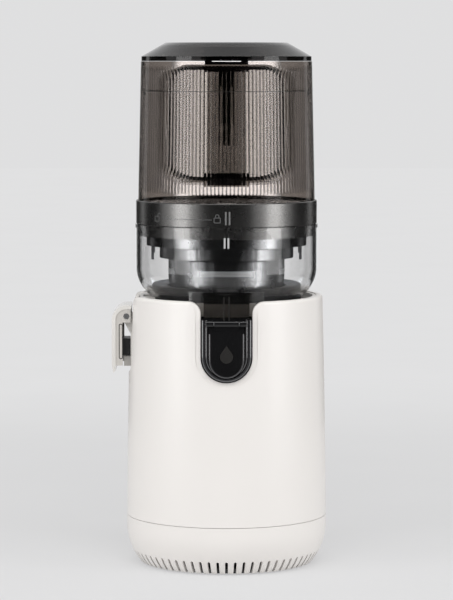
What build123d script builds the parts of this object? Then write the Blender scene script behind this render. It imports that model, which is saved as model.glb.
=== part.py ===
"""Cold press juicer: a tall vertical slow juicer with a self-feeding hopper.

Frame: millimetres, +Z up.  The origin is on the drive axis, on the surface that the juicer stands on.
The front, with the juice spout, faces -Y.  The pulp lever is at -X.  The handle and the lid hinge are at +Y.
"""
from build123d import *
import os
from math import asin, atan, cos, degrees, pi, radians, sin, sqrt

os.makedirs("parts", exist_ok=True)

# ---------------------------------------------------------------- driving dimensions
# clearances
body_gap = 0.3          # between pieces that part or slide past each other
running_gap = 0.05      # radial, for a pin or shaft in its hole
seat_gap = 0.2          # between pieces of one body that are not pressed together

# heights of the stacked groups
foot_height = 1.6       # rubber ring below the bottom plate
cover_lift = 1.2        # underside of the base cover above the table
seam_height = 43.0      # seam between base cover and housing
seam_gap = 0.4
housing_height = 195.0
bowl_sink = 6.0         # how deep the bowl sits in the top of the housing
bowl_height = 69.0
ring_height = 20.7
hopper_height = 121.7
lid_rim_height = 4.0
lid_crown_height = 12.0

# base shells
housing_radius = 88.5
waist_draw = 1.1        # how far the barrelled side comes in at the waist
crown_draw = 3.5        # and at its top
housing_wall = 3.0
rim_round = 2.4
well_rim = 5.5          # from the housing's top edge in to its opening
cover_round = 50.3      # radius of the inward curve at the foot of the base cover
cover_draw = 12.0       # how far the base cover comes in at the foot
vent_count = 68
vent_width = 2.4
vent_height = 12.5
vent_length_inside = 14.0

# U recesses, open at the top, that take the spout and the pulp chute
recess_half_width = 22.4
recess_height = 69.4    # from the top of the housing down to the bottom of the U
recess_corner = 16.0     # lower corners of the U at the pulp side
spout_round = 0.5         # flat left at each side of the front U's round foot
recess_flare = 10.0
recess_depth = 18.0     # from the widest housing radius to the back of the recess
pulp_recess_depth = 32.5
lip_width = 4.3         # shallow band around the front recess
lip_depth = 0.5

# bowl
bowl_inset = 8.7        # side of the bowl inside the widest housing radius
bowl_lip_proud = 0.9
bowl_lip_height = 3.0
bowl_wall = 3.0
bowl_corner = 30.0
hub_radius = 12.5
hub_bore_radius = 8.6
hub_height = 18.0

# strainer basket, stepped in from the bowl
basket_inset = 9.1
flange_step = 11.5
wall_step = 8.0
basket_wall_thickness = 2.2
seat_step = 2.0
gasket_step = 3.0
throat_step = 1.0

# drive
shaft_radius = 8.0
hex_across = 12.0
hex_gap = 0.15

# hopper and lid
ring_bevel = 0.6
hopper_inset = 1.7      # foot of the hopper inside the ring
hopper_draw = 2.7       # how far its wall comes in towards the rim
hopper_wall = 2.6
collar_height = 26.0
lid_inset = 0.4
lid_crown_draw = 21.0
lid_wall = 2.6

# ---------------------------------------------------------------- levels worked out from them
housing_bottom = seam_height + seam_gap / 2
cover_top = seam_height - seam_gap / 2
housing_top = seam_height + housing_height
bowl_floor = housing_top - bowl_sink
bowl_top = bowl_floor + bowl_height
ring_bottom = bowl_top + body_gap
ring_top = ring_bottom + ring_height
hopper_top = ring_top + hopper_height
lid_bottom = hopper_top + body_gap
lid_shoulder = lid_bottom + lid_rim_height
lid_top = lid_shoulder + lid_crown_height
recess_bottom = housing_top - recess_height
front_corner = recess_half_width - spout_round

# ---------------------------------------------------------------- radii worked out from them
housing_waist_radius = housing_radius - waist_draw
housing_top_radius = housing_radius - crown_draw
well_radius = housing_top_radius - well_rim
cover_foot_radius = housing_radius - cover_draw
recess_back = housing_radius - recess_depth
pulp_recess_back = housing_radius - pulp_recess_depth
bowl_radius = housing_radius - bowl_inset
bowl_lip_radius = bowl_radius + bowl_lip_proud
basket_flange_radius = bowl_radius - basket_inset
basket_step_radius = basket_flange_radius - flange_step
basket_radius = basket_step_radius - wall_step
basket_bore = basket_radius - basket_wall_thickness
basket_seat_radius = basket_bore - seat_step
gasket_outer = basket_seat_radius - gasket_step
throat_radius = basket_bore - throat_step
ring_radius = bowl_radius
hopper_foot_radius = ring_radius - hopper_inset
hopper_rim_radius = hopper_foot_radius - hopper_draw
lid_radius = hopper_rim_radius - lid_inset
lid_top_radius = lid_radius - lid_crown_draw

front = Plane.XZ                                                    # faces -Y, local x = X, local y = Z
left = Plane(origin=(0, 0, 0), x_dir=(0, -1, 0), z_dir=(-1, 0, 0))  # faces -X, local y = Z
rear = Plane(origin=(0, 0, 0), x_dir=(-1, 0, 0), z_dir=(0, 1, 0))   # faces +Y, local y = Z


# ---------------------------------------------------------------- shared shapes
def finish(piece, name):
    """Label a finished piece and write its STEP file."""
    piece.part.label = name
    export_step(piece.part, f"parts/{name}.step")


def turned(*corners):
    """Solid of revolution about the drive axis from (radius, height) corners."""
    with BuildPart() as solid:
        with BuildSketch(Plane.XZ):
            with BuildLine():
                Polyline(*corners, close=True)
            make_face()
        revolve(axis=Axis.Z)
    return solid


def bush(inner_radius, outer_radius, bottom, top):
    """Ring about the drive axis between two heights; a disc when the inner radius is 0."""
    with BuildPart() as solid:
        with BuildSketch(Plane.XY.offset(bottom)):
            Circle(outer_radius)
            if inner_radius > 0:
                Circle(inner_radius, mode=Mode.SUBTRACT)
        extrude(amount=top - bottom)
    return solid


def rod(plane, radius, start, end, bore=0.0):
    """Round rod or tube along the plane's normal, from one offset to another."""
    with BuildPart() as solid:
        with BuildSketch(plane.offset(start)):
            Circle(radius)
            if bore > 0:
                Circle(bore, mode=Mode.SUBTRACT)
        extrude(amount=end - start)
    return solid


def block(x_range, y_range, z_range):
    """Rectangular block between the given limits."""
    with BuildPart() as solid:
        with BuildSketch(Plane.XY.offset(z_range[0])):
            with Locations(((x_range[0] + x_range[1]) / 2, (y_range[0] + y_range[1]) / 2)):
                Rectangle(x_range[1] - x_range[0], y_range[1] - y_range[0])
        extrude(amount=z_range[1] - z_range[0])
    return solid


def u_outline(half_width, bottom, corner, top, flare=0.0, above=0.0):
    """U outline, rounded below, that flares outwards just under its open top."""
    with BuildSketch() as outline:
        with Locations((0, (bottom + top + above) / 2)):
            Rectangle(2 * half_width, top + above - bottom)
        if corner > 0:
            fillet(outline.vertices().group_by(Axis.Y)[0], radius=corner)
        if flare > 0:
            with Locations((0, top - flare / 2 + above / 2)):
                Rectangle(2 * (half_width + flare), flare + above)
            with Locations((half_width + flare, top - flare), (-half_width - flare, top - flare)):
                Circle(flare, mode=Mode.SUBTRACT)
    return outline.sketch


def barrel(shrink, bottom, top):
    """Slightly barrelled outer form of the housing, shrunk by a radial allowance."""
    waist_height = seam_height + 0.45 * housing_height
    with BuildPart() as solid:
        with BuildSketch(Plane.XZ):
            with BuildLine():
                side = ThreePointArc(
                    (housing_radius - shrink, housing_bottom),
                    (housing_waist_radius - shrink, waist_height),
                    (housing_top_radius - shrink, housing_top),
                )
                Polyline(side @ 1, (0, housing_top), (0, housing_bottom), side @ 0)
            make_face()
        revolve(axis=Axis.Z)
        if top < housing_top:
            with BuildSketch(Plane.XY.offset(top)):
                Circle(housing_radius + 1)
            extrude(amount=housing_top - top, mode=Mode.SUBTRACT)
        if bottom > housing_bottom:
            with BuildSketch(Plane.XY.offset(housing_bottom)):
                Circle(housing_radius + 1)
            extrude(amount=bottom - housing_bottom, mode=Mode.SUBTRACT)
    return solid


def bowl_form(shrink, top):
    """Outer form of the bowl, shrunk by a wall: flat floor, large corner, straight side."""
    corner = bowl_corner - shrink
    radius = bowl_radius - shrink
    floor = bowl_floor + shrink
    with BuildPart() as solid:
        with BuildSketch(Plane.XZ):
            with BuildLine():
                base = Line((0, floor), (radius - corner, floor))
                turn = CenterArc((radius - corner, floor + corner), corner, -90, 90)
                Polyline(turn @ 1, (radius, top), (0, top), base @ 0)
            make_face()
        revolve(axis=Axis.Z)
    return solid


def hopper_form(shrink, bottom, top):
    """Slightly tapered outer form of the hopper, shrunk by a wall."""
    slope = (hopper_rim_radius - hopper_foot_radius) / hopper_height

    def radius(height):
        return hopper_foot_radius - shrink + slope * (height - ring_top)

    return turned((0, bottom), (radius(bottom), bottom), (radius(top), top), (0, top))


# ---------------------------------------------------------------- base shells
recess_wall = housing_wall - 0.6
deck_thickness = 3.0
deck_top = bowl_floor - body_gap
deck_underside = deck_top - deck_thickness
lining_top = housing_top - housing_wall


def recess_cut(plane, back, bottom, half_width, corner, flare):
    """Solid that fills a U recess from its back wall out past the housing."""
    with BuildPart() as solid:
        with BuildSketch(plane.offset(back)):
            add(u_outline(half_width, bottom, corner, housing_top, flare, above=2.0))
        extrude(amount=housing_radius + 5 - back)
    return solid


def recess_lining(plane, back, bottom, half_width, corner, top):
    """Block that the recess is cut into, one wall larger all round and trimmed to the housing."""
    with BuildPart() as solid:
        with BuildSketch(plane.offset(back - recess_wall)):
            add(u_outline(half_width + recess_wall, bottom - recess_wall, corner + recess_wall, top))
        extrude(amount=housing_radius + 5 - back)
        add(barrel(housing_wall / 2, housing_bottom, housing_top - housing_wall), mode=Mode.INTERSECT)
    return solid


front_recess = recess_cut(front, recess_back, recess_bottom, recess_half_width, front_corner, recess_flare)
left_recess = recess_cut(left, pulp_recess_back, recess_bottom, recess_half_width, recess_corner, recess_flare)

with BuildPart() as lip_band:
    with BuildSketch(front.offset(recess_back)):
        add(u_outline(recess_half_width + lip_width, recess_bottom - lip_width, front_corner + lip_width,
                      housing_top, recess_flare, above=2.0))
    extrude(amount=housing_radius + 5 - recess_back)
    add(barrel(lip_depth, housing_bottom, housing_top), mode=Mode.SUBTRACT)

dial_height = seam_height + 57.0
dial_spindle_radius = 5.0

with BuildPart() as main_housing:
    add(barrel(0, housing_bottom, housing_top))
    fillet(main_housing.edges().filter_by(GeomType.CIRCLE).group_by(Axis.Z)[-1], radius=rim_round)
    add(barrel(housing_wall, housing_bottom, housing_top - housing_wall), mode=Mode.SUBTRACT)
    with BuildSketch(Plane.XY.offset(housing_top)):
        Circle(well_radius)
    extrude(amount=-2 * housing_wall, mode=Mode.SUBTRACT)
    add(recess_lining(front, recess_back, recess_bottom, recess_half_width, front_corner, lining_top))
    add(recess_lining(left, pulp_recess_back, recess_bottom, recess_half_width, recess_corner, deck_underside))
    add(lip_band, mode=Mode.SUBTRACT)
    add(front_recess, mode=Mode.SUBTRACT)
    add(left_recess, mode=Mode.SUBTRACT)
    with BuildSketch(rear.offset(recess_back)):
        with Locations((0, dial_height)):
            Circle(dial_spindle_radius + 1)
    extrude(amount=housing_radius, mode=Mode.SUBTRACT)
finish(main_housing, "main_housing")

gland_height = cover_lift + 22.0
gland_radius = 8.5

with BuildPart() as vent_cutter:
    with BuildSketch(front.offset(cover_foot_radius - vent_length_inside)):
        with Locations((0, cover_lift + vent_height / 2 - vent_width)):
            SlotOverall(vent_height + vent_width, vent_width, rotation=90)
    extrude(amount=housing_radius)



def cover_form(shrink):
    """Outer form of the base cover, shrunk by a wall: upright side, then an arc in to the foot."""
    rise = sqrt(cover_round ** 2 - (cover_round - housing_radius + cover_foot_radius) ** 2)
    arc_radius = cover_round - shrink
    sweep = degrees(asin(rise / arc_radius))
    with BuildPart() as solid:
        with BuildSketch(Plane.XZ):
            with BuildLine():
                side = Line((housing_radius - shrink, cover_top),
                    (housing_radius - shrink, cover_lift + rise))
                foot = CenterArc((housing_radius - cover_round, cover_lift + rise), arc_radius, 0, -sweep)
                Polyline(foot @ 1, (0, cover_lift), (0, cover_top), side @ 0)
            make_face()
        revolve(axis=Axis.Z)
    return solid


with BuildPart() as base_cover:
    add(cover_form(0))
    add(cover_form(housing_wall), mode=Mode.SUBTRACT)
    with PolarLocations(0, vent_count):
        add(vent_cutter, mode=Mode.SUBTRACT)
    with BuildSketch(rear.offset(recess_back)):
        with Locations((0, gland_height)):
            Circle(gland_radius + seat_gap)
    extrude(amount=housing_radius, mode=Mode.SUBTRACT)
finish(base_cover, "base_cover")

# ---------------------------------------------------------------- floor of the base
plate_thickness = 3.0
plate_radius = cover_foot_radius - housing_wall - 2.4
plate_top = foot_height + plate_thickness
foot_ring_outer = plate_radius - 4.0
foot_ring_width = 9.0
screw_circle = 46.0
screw_radius = 1.9
screw_head_radius = 3.6
screw_head_height = 2.0
leg_radius = 5.5
screw_angles = (45, 135, 225, 315)
leg_top = seam_height - 19.0
screw_length = 15.0

with BuildPart() as bottom_plate:
    add(bush(0, plate_radius, foot_height, plate_top))
    with BuildSketch(Plane.XY.offset(foot_height)):
        for angle in screw_angles:
            with PolarLocations(screw_circle, 1, start_angle=angle):
                Circle(screw_radius + seat_gap)
    extrude(amount=plate_thickness, mode=Mode.SUBTRACT)
    with BuildSketch(Plane.XY.offset(foot_height)):
        with PolarLocations(screw_circle, 4, start_angle=screw_angles[0]):
            Circle(screw_head_radius + seat_gap)
    extrude(amount=screw_head_height, mode=Mode.SUBTRACT)
finish(bottom_plate, "bottom_plate")

rubber_foot_ring = bush(foot_ring_outer - foot_ring_width, foot_ring_outer, 0, foot_height)
finish(rubber_foot_ring, "rubber_foot_ring")

with BuildPart() as bottom_screws:
    with BuildSketch(Plane.XY.offset(foot_height + seat_gap)):
        with PolarLocations(screw_circle, 4, start_angle=screw_angles[0]):
            Circle(screw_head_radius)
    extrude(amount=screw_head_height - seat_gap)
    with BuildSketch(Plane.XY.offset(foot_height + screw_head_height)):
        with PolarLocations(screw_circle, 4, start_angle=screw_angles[0]):
            Circle(screw_radius)
    extrude(amount=screw_length)
finish(bottom_screws, "bottom_screws")

# ---------------------------------------------------------------- motor
can_radius = 52.0
can_wall = 2.6
bracket_thickness = 4.0
bearing_outer = 11.0
motor_shaft_radius = 5.0
motor_bottom = leg_top
motor_length = 92.0
motor_top = motor_bottom + motor_length
rotor_radius = 29.4
air_gap = 0.6
stack_bottom = motor_bottom + 25.0
stack_top = motor_top - 22.0
winding_inner = rotor_radius + 3.0
winding_outer = can_radius - can_wall - 4.0
winding_height = 13.0
fan_radius = 38.0
fan_gap = 3.0
fan_height = 9.0
fan_blades = 9

with BuildPart() as motor_frame:
    add(bush(bearing_outer, can_radius, motor_bottom, motor_bottom + bracket_thickness))
    with BuildSketch(Plane.XY.offset(plate_top)):
        with PolarLocations(screw_circle, 4, start_angle=screw_angles[0]):
            Circle(leg_radius)
    extrude(amount=motor_bottom - plate_top)
    with BuildSketch(Plane.XY.offset(plate_top)):
        with PolarLocations(screw_circle, 4, start_angle=screw_angles[0]):
            Circle(screw_radius + seat_gap / 2)
    extrude(amount=screw_length, mode=Mode.SUBTRACT)
    with BuildSketch(Plane.XY.offset(motor_bottom)):
        with PolarLocations((bearing_outer + screw_circle) / 2, 4):
            RectangleRounded(14, 10, 3)
    extrude(amount=bracket_thickness, mode=Mode.SUBTRACT)
finish(motor_frame, "motor_frame")

with BuildPart() as motor_can:
    add(bush(can_radius - can_wall, can_radius,
             motor_bottom + bracket_thickness, motor_top - bracket_thickness))
    add(bush(bearing_outer, can_radius, motor_top - bracket_thickness, motor_top))
finish(motor_can, "motor_can")

stator_core = bush(rotor_radius + air_gap, can_radius - can_wall, stack_bottom, stack_top)
finish(stator_core, "stator_core")

with BuildPart() as stator_windings:
    add(bush(winding_inner, winding_outer, stack_bottom - winding_height, stack_bottom))
    add(bush(winding_inner, winding_outer, stack_top, stack_top + winding_height))
    fillet(stator_windings.edges().group_by(Axis.Z)[0], radius=3)
    fillet(stator_windings.edges().group_by(Axis.Z)[-1], radius=3)
finish(stator_windings, "stator_windings")

with BuildPart() as motor_bearings:
    for height in (motor_bottom, motor_top - bracket_thickness):
        add(bush(motor_shaft_radius + running_gap, bearing_outer, height, height + bracket_thickness))
finish(motor_bearings, "motor_bearings")

# ---------------------------------------------------------------- planetary gearbox
gear_module = 1.5
sun_teeth = 12
planet_teeth = 18
ring_teeth = sun_teeth + 2 * planet_teeth
planet_count = 3
pressure_angle = 25.0
backlash = 0.3           # taken off each tooth's thickness
gear_height = 11.0
orbit_radius = gear_module * (sun_teeth + planet_teeth) / 2
gear_bottom = motor_top + 14.0
gear_top = gear_bottom + gear_height
ring_gear_outer = gear_module * ring_teeth / 2 + 5.0
gearbox_wall = 3.0
gearbox_top = gear_top + 24.0
carrier_radius = orbit_radius + 8.0
carrier_thickness = 5.0
carrier_bottom = gear_top + 1.0
carrier_top = carrier_bottom + carrier_thickness
planet_pin_radius = 3.0
output_bearing_outer = 17.0
shaft_top = bowl_floor + hub_height + 22.0
hex_bottom = bowl_floor - 14.0


def tooth_half_angle(radius, pitch_radius, base_radius, half_at_pitch):
    """Half the angle of an involute tooth at a radius, in radians."""
    def involute(at_radius):
        ratio = max(at_radius / base_radius, 1.0)
        flank = sqrt(ratio ** 2 - 1)
        return flank - atan(flank)
    return half_at_pitch + involute(pitch_radius) - involute(radius)


def gear_outline(teeth, root_radius, tip_radius, thickness_share, turn):
    """Sketch of a gear: involute flanks between root and tip, turned by an angle in degrees."""
    pitch_radius = gear_module * teeth / 2
    base_radius = pitch_radius * cos(radians(pressure_angle))
    half_at_pitch = thickness_share / (2 * pitch_radius)
    steps = 4
    corners = []
    for tooth in range(teeth):
        centre = radians(turn) + 2 * pi * tooth / teeth
        flank = []
        for step in range(steps + 1):
            radius = root_radius + (tip_radius - root_radius) * step / steps
            flank.append((radius, tooth_half_angle(radius, pitch_radius, base_radius, half_at_pitch)))
        for side, order in ((-1, flank), (1, flank[::-1])):
            corners += [(r * cos(centre + side * a), r * sin(centre + side * a)) for r, a in order]
    with BuildSketch() as outline:
        with BuildLine():
            Polyline(*corners, close=True)
        make_face()
    return outline.sketch


tooth_thickness = pi * gear_module / 2 - backlash
space_thickness = pi * gear_module / 2 + backlash
sun_pitch = gear_module * sun_teeth / 2
planet_pitch = gear_module * planet_teeth / 2
ring_pitch = gear_module * ring_teeth / 2
addendum = 0.85 * gear_module
dedendum = 1.2 * gear_module

with BuildPart() as sun_gear:
    with BuildSketch(Plane.XY.offset(gear_bottom)):
        add(gear_outline(sun_teeth, sun_pitch - dedendum, sun_pitch + addendum, tooth_thickness, 0))
        Circle(motor_shaft_radius, mode=Mode.SUBTRACT)
    extrude(amount=gear_height)
finish(sun_gear, "sun_gear")

for index in range(planet_count):
    angle = 360 * index / planet_count
    # a planet's tooth space faces the sun's tooth on the line of centres
    turn = 180 + 180 / planet_teeth + angle
    with BuildPart() as planet_gear:
        with BuildSketch(Plane.XY.offset(gear_bottom)):
            with PolarLocations(orbit_radius, 1, start_angle=angle, rotate=False):
                add(gear_outline(planet_teeth, planet_pitch - dedendum, planet_pitch + addendum,
                                 tooth_thickness, turn))
                Circle(planet_pin_radius + running_gap, mode=Mode.SUBTRACT)
        extrude(amount=gear_height)
    finish(planet_gear, f"planet_gear_{index + 1}")

with BuildPart() as ring_gear:
    with BuildSketch(Plane.XY.offset(gear_bottom)):
        Circle(ring_gear_outer)
        # the opening is the outline of the matching tooth spaces
        add(gear_outline(ring_teeth, ring_pitch - addendum, ring_pitch + dedendum, space_thickness,
                         0 if planet_teeth % 2 else 180 / ring_teeth), mode=Mode.SUBTRACT)
    extrude(amount=gear_height)
finish(ring_gear, "ring_gear")

with BuildPart() as gearbox_housing:
    add(bush(ring_gear_outer, ring_gear_outer + gearbox_wall, motor_top, gearbox_top))
    add(bush(output_bearing_outer, ring_gear_outer + gearbox_wall, gearbox_top - 6, gearbox_top))
    add(bush(output_bearing_outer, output_bearing_outer + gearbox_wall, gearbox_top - 12, gearbox_top))
finish(gearbox_housing, "gearbox_housing")

with BuildPart() as planet_carrier:
    add(bush(0, carrier_radius, carrier_bottom, carrier_top))
    with BuildSketch(Plane.XY.offset(gear_bottom)):
        with PolarLocations(orbit_radius, planet_count):
            Circle(planet_pin_radius)
    extrude(amount=carrier_bottom - gear_bottom)
    with BuildSketch(Plane.XY.offset(carrier_top)):
        Circle(shaft_radius)
    extrude(amount=hex_bottom - carrier_top)
    with BuildSketch(Plane.XY.offset(hex_bottom)):
        RegularPolygon(hex_across / 2, 6, major_radius=False)
    extrude(amount=shaft_top - hex_bottom)
    chamfer(planet_carrier.faces().sort_by(Axis.Z)[-1].edges(), length=1)
finish(planet_carrier, "planet_carrier")

output_bearing = bush(shaft_radius + running_gap, output_bearing_outer, gearbox_top - 12, gearbox_top)
finish(output_bearing, "output_bearing")

with BuildPart() as motor_rotor:
    add(bush(0, rotor_radius, stack_bottom, stack_top))
    add(bush(0, motor_shaft_radius, plate_top + 2.0, gear_top))
finish(motor_rotor, "motor_rotor")

fan_top = motor_bottom - fan_gap
with BuildPart() as fan:
    add(bush(motor_shaft_radius, bearing_outer - 1, fan_top - fan_height, fan_top))
    add(bush(motor_shaft_radius, fan_radius, fan_top - 1.4, fan_top))
    with BuildSketch(Plane.XY.offset(fan_top - fan_height)):
        with PolarLocations((fan_radius + bearing_outer) / 2, fan_blades):
            Rectangle(fan_radius - bearing_outer - 1, 1.4, rotation=18)
    extrude(amount=fan_height - 1.4)
finish(fan, "fan")

# ---------------------------------------------------------------- top of the base
deck_wall = 3.0
deck_rim_top = housing_top - 0.6
deck_outer = well_radius - seat_gap
deck_bore_radius = 12.0
seal_lip = 1.0

with BuildPart() as top_deck:
    add(turned(
        (deck_bore_radius, deck_underside), (deck_outer, deck_underside),
        (deck_outer, deck_rim_top), (deck_outer - deck_wall, deck_rim_top),
        (deck_outer - deck_wall - 2, deck_top), (deck_bore_radius, deck_top),
    ))
    with BuildSketch(front.offset(recess_back - recess_wall - seat_gap)):
        add(u_outline(recess_half_width + recess_wall + seat_gap, recess_bottom, front_corner,
                      housing_top, above=2.0))
    extrude(amount=housing_radius, mode=Mode.SUBTRACT)
    add(front_recess, mode=Mode.SUBTRACT)
    add(left_recess, mode=Mode.SUBTRACT)
finish(top_deck, "top_deck")

shaft_seal = bush(shaft_radius + seal_lip, deck_bore_radius, deck_underside, deck_top)
finish(shaft_seal, "shaft_seal")

# ---------------------------------------------------------------- controls at the rear
board_half_width = 30.0
board_thickness = 1.6
board_back = can_radius + 9.0
board_bottom = seam_height - 4.0
board_top = dial_height + 16.0
bracket_half_width = 18.0

with BuildPart() as board_bracket:
    add(block((-bracket_half_width, bracket_half_width), (can_radius - 6, board_back),
              (board_bottom + 6, motor_top - 12)))
    add(bush(0, can_radius, 0, motor_top), mode=Mode.SUBTRACT)
finish(board_bracket, "board_bracket")

component_blocks = (
    (-22.0, 8.0, 10.0, 7.0, 10.0),
    (-20.0, 28.0, 12.0, 12.0, 6.0),
    (12.0, 6.0, 18.0, 8.0, 9.0),
    (17.0, 26.0, 9.0, 16.0, 5.0),
)
with BuildPart() as control_board:
    add(block((-board_half_width, board_half_width), (board_back, board_back + board_thickness),
              (board_bottom, board_top)))
    for left_edge, rise, width, height, depth in component_blocks:
        add(block((left_edge - width / 2, left_edge + width / 2),
                  (board_back + board_thickness, board_back + board_thickness + depth),
                  (board_bottom + rise, board_bottom + rise + height)))
finish(control_board, "control_board")

switch_half = 9.5
switch_face = board_back + board_thickness + 15.0
dial_switch = block((-switch_half, switch_half), (board_back + board_thickness, switch_face),
                    (dial_height - switch_half, dial_height + switch_half))
finish(dial_switch, "dial_switch")

dial_plane = Plane(origin=(0, 0, dial_height), x_dir=(-1, 0, 0), z_dir=(0, 1, 0))
bezel_radius = 21.0
bezel_face = housing_radius + 1.8
dial_radius = 16.5
dial_depth = 13.0
dial_grip = 7.0

with BuildPart() as dial_bezel:
    with BuildSketch(dial_plane.offset(housing_radius - 8)):
        Circle(bezel_radius)
    extrude(amount=bezel_face - housing_radius + 8)
    fillet(dial_bezel.faces().sort_by(Axis.Y)[-1].edges(), radius=1.0)
    with BuildSketch(dial_plane.offset(housing_radius - 8)):
        Circle(dial_spindle_radius + 1)
    extrude(amount=dial_depth, mode=Mode.SUBTRACT)
    add(barrel(0, housing_bottom, housing_top), mode=Mode.SUBTRACT)
finish(dial_bezel, "dial_bezel")

with BuildPart() as power_dial:
    with BuildSketch(dial_plane.offset(bezel_face + body_gap)):
        Circle(dial_radius)
    extrude(amount=4.0)
    with BuildSketch(dial_plane.offset(bezel_face + body_gap)):
        SlotOverall(2 * dial_radius - 4, dial_grip, rotation=90)
    extrude(amount=dial_depth)
    chamfer(power_dial.faces().sort_by(Axis.Y)[-1].edges(), length=1.0)
    with BuildSketch(dial_plane.offset(switch_face + body_gap)):
        Circle(dial_spindle_radius)
    extrude(amount=bezel_face + body_gap - switch_face)
finish(power_dial, "power_dial")

gland_plane = Plane(origin=(0, 0, gland_height), x_dir=(-1, 0, 0), z_dir=(0, 1, 0))
gland_bore = 3.6
gland_flange = 2.0
with BuildPart() as cord_gland:
    with BuildSketch(gland_plane.offset(recess_back + 8)):
        Circle(gland_radius)
    extrude(amount=housing_radius - recess_back - 6)
    with BuildSketch(gland_plane.offset(housing_radius - 1.0)):
        Circle(gland_radius + gland_flange)
    extrude(amount=3.0)
    add(cover_form(0), mode=Mode.SUBTRACT)
    with BuildSketch(gland_plane.offset(recess_back + 8)):
        Circle(gland_radius)
    extrude(amount=housing_radius - recess_back - 6)
    with BuildSketch(gland_plane.offset(recess_back)):
        Circle(gland_bore)
    extrude(amount=housing_radius, mode=Mode.SUBTRACT)
finish(cord_gland, "cord_gland")

interlock_switch = block((-6, 6), (deck_outer - 24, deck_outer - 12),
                         (deck_underside - 13, deck_underside))
finish(interlock_switch, "interlock_switch")

# ---------------------------------------------------------------- bowl
outlet_half_width = 12.0
outlet_bottom = bowl_floor + 5.0
outlet_top = outlet_bottom + 11.0
pulp_outlet_half = 10.0
pulp_outlet_near = pulp_recess_back + 4.0
basket_seat_height = 12.0
gasket_height = 2.6
rib_half_spacing = 25.0
rib_thickness = 2.6
rib_depth = 3.0
rib_bottom = bowl_floor + 12.0
rib_top = bowl_top - 17.0
bowl_inside_floor = bowl_floor + bowl_wall

with BuildPart() as bowl_ribs:
    reach = sqrt((bowl_radius - bowl_wall / 2) ** 2 - rib_half_spacing ** 2)
    for centre in (-rib_half_spacing, rib_half_spacing):
        add(block((centre - rib_thickness / 2, centre + rib_thickness / 2),
                  (-reach, -reach + rib_depth + bowl_wall / 2), (rib_bottom, rib_top)))
    add(bowl_form(bowl_wall / 2, bowl_top), mode=Mode.INTERSECT)

with BuildPart() as juice_bowl:
    add(bowl_form(0, bowl_top))
    with BuildSketch(Plane.XY.offset(bowl_top - bowl_lip_height)):
        Circle(bowl_lip_radius)
    extrude(amount=bowl_lip_height)
    add(bowl_form(bowl_wall, bowl_top), mode=Mode.SUBTRACT)
    # hub around the drive shaft
    add(bush(0, hub_radius, bowl_floor, bowl_floor + hub_height))
    add(bush(0, hub_bore_radius, bowl_floor - 1, bowl_top), mode=Mode.SUBTRACT)
    # low ring that centres the basket
    add(bush(basket_seat_radius - 2.4, basket_seat_radius,
             bowl_inside_floor, bowl_floor + basket_seat_height))
    add(bowl_ribs)
    # juice outlet at the front, pulp outlet in the left corner
    add(block((-outlet_half_width, outlet_half_width), (-bowl_radius, -bowl_radius + 22),
              (outlet_bottom, outlet_top)), mode=Mode.SUBTRACT)
    add(block((-bowl_radius + 8, -pulp_outlet_near), (-pulp_outlet_half, pulp_outlet_half),
              (bowl_floor - 1, bowl_floor + 12)), mode=Mode.SUBTRACT)
finish(juice_bowl, "juice_bowl")

with BuildPart() as bowl_seals:
    add(bush(hub_radius + 12, gasket_outer, bowl_inside_floor, bowl_inside_floor + gasket_height))
    add(bush(hex_across / sqrt(3) + 0.4, hub_bore_radius,
             bowl_floor + hub_height - 8, bowl_floor + hub_height - 2))
finish(bowl_seals, "bowl_seals")

# ---------------------------------------------------------------- juice spout
spout_gap = 0.5
spout_half = recess_half_width - spout_gap
spout_bottom = recess_bottom + spout_gap
spout_corner = front_corner - spout_gap
chute_corner = recess_corner - spout_gap
spout_wall = 2.4
spout_split = housing_top - 14.2        # the clear duct begins above this height
spout_face = housing_radius - 0.3       # radius of the curved front
spout_back = recess_back + body_gap
duct_top = housing_top + 8.0
duct_top_radius = bowl_radius + 0.8
front_wall = 3.8
window_gap = 0.5
cap_half = 15.4
cap_bottom = spout_bottom + 3.6
cap_corner = cap_half - spout_round
cap_back = spout_face - 3.3
cap_face = spout_face + 1.3
cap_hinge_height = spout_split - 4.0
cap_hinge_reach = spout_face + 0.3
cap_barrel_radius = 2.8
cap_barrel_half = 10.7
cap_lug_end = cap_half + 2.1
cap_top = cap_hinge_height - cap_barrel_radius - 0.4
cap_pin_radius = 1.3
nozzle_face = cap_back - 3.4
nozzle_height = spout_bottom + 15.0
nozzle_radius = 7.0
cap_seal_radius = 9.5
drop_radius = 5.6
drop_rise = 9.8
drop_height = spout_bottom + 22.4
drop_relief = 0.4

cap_axis = Plane(origin=(0, -cap_hinge_reach, cap_hinge_height), x_dir=(0, 1, 0), z_dir=(1, 0, 0))
nozzle_plane = Plane(origin=(0, 0, nozzle_height), x_dir=(1, 0, 0), z_dir=(0, -1, 0))

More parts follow.
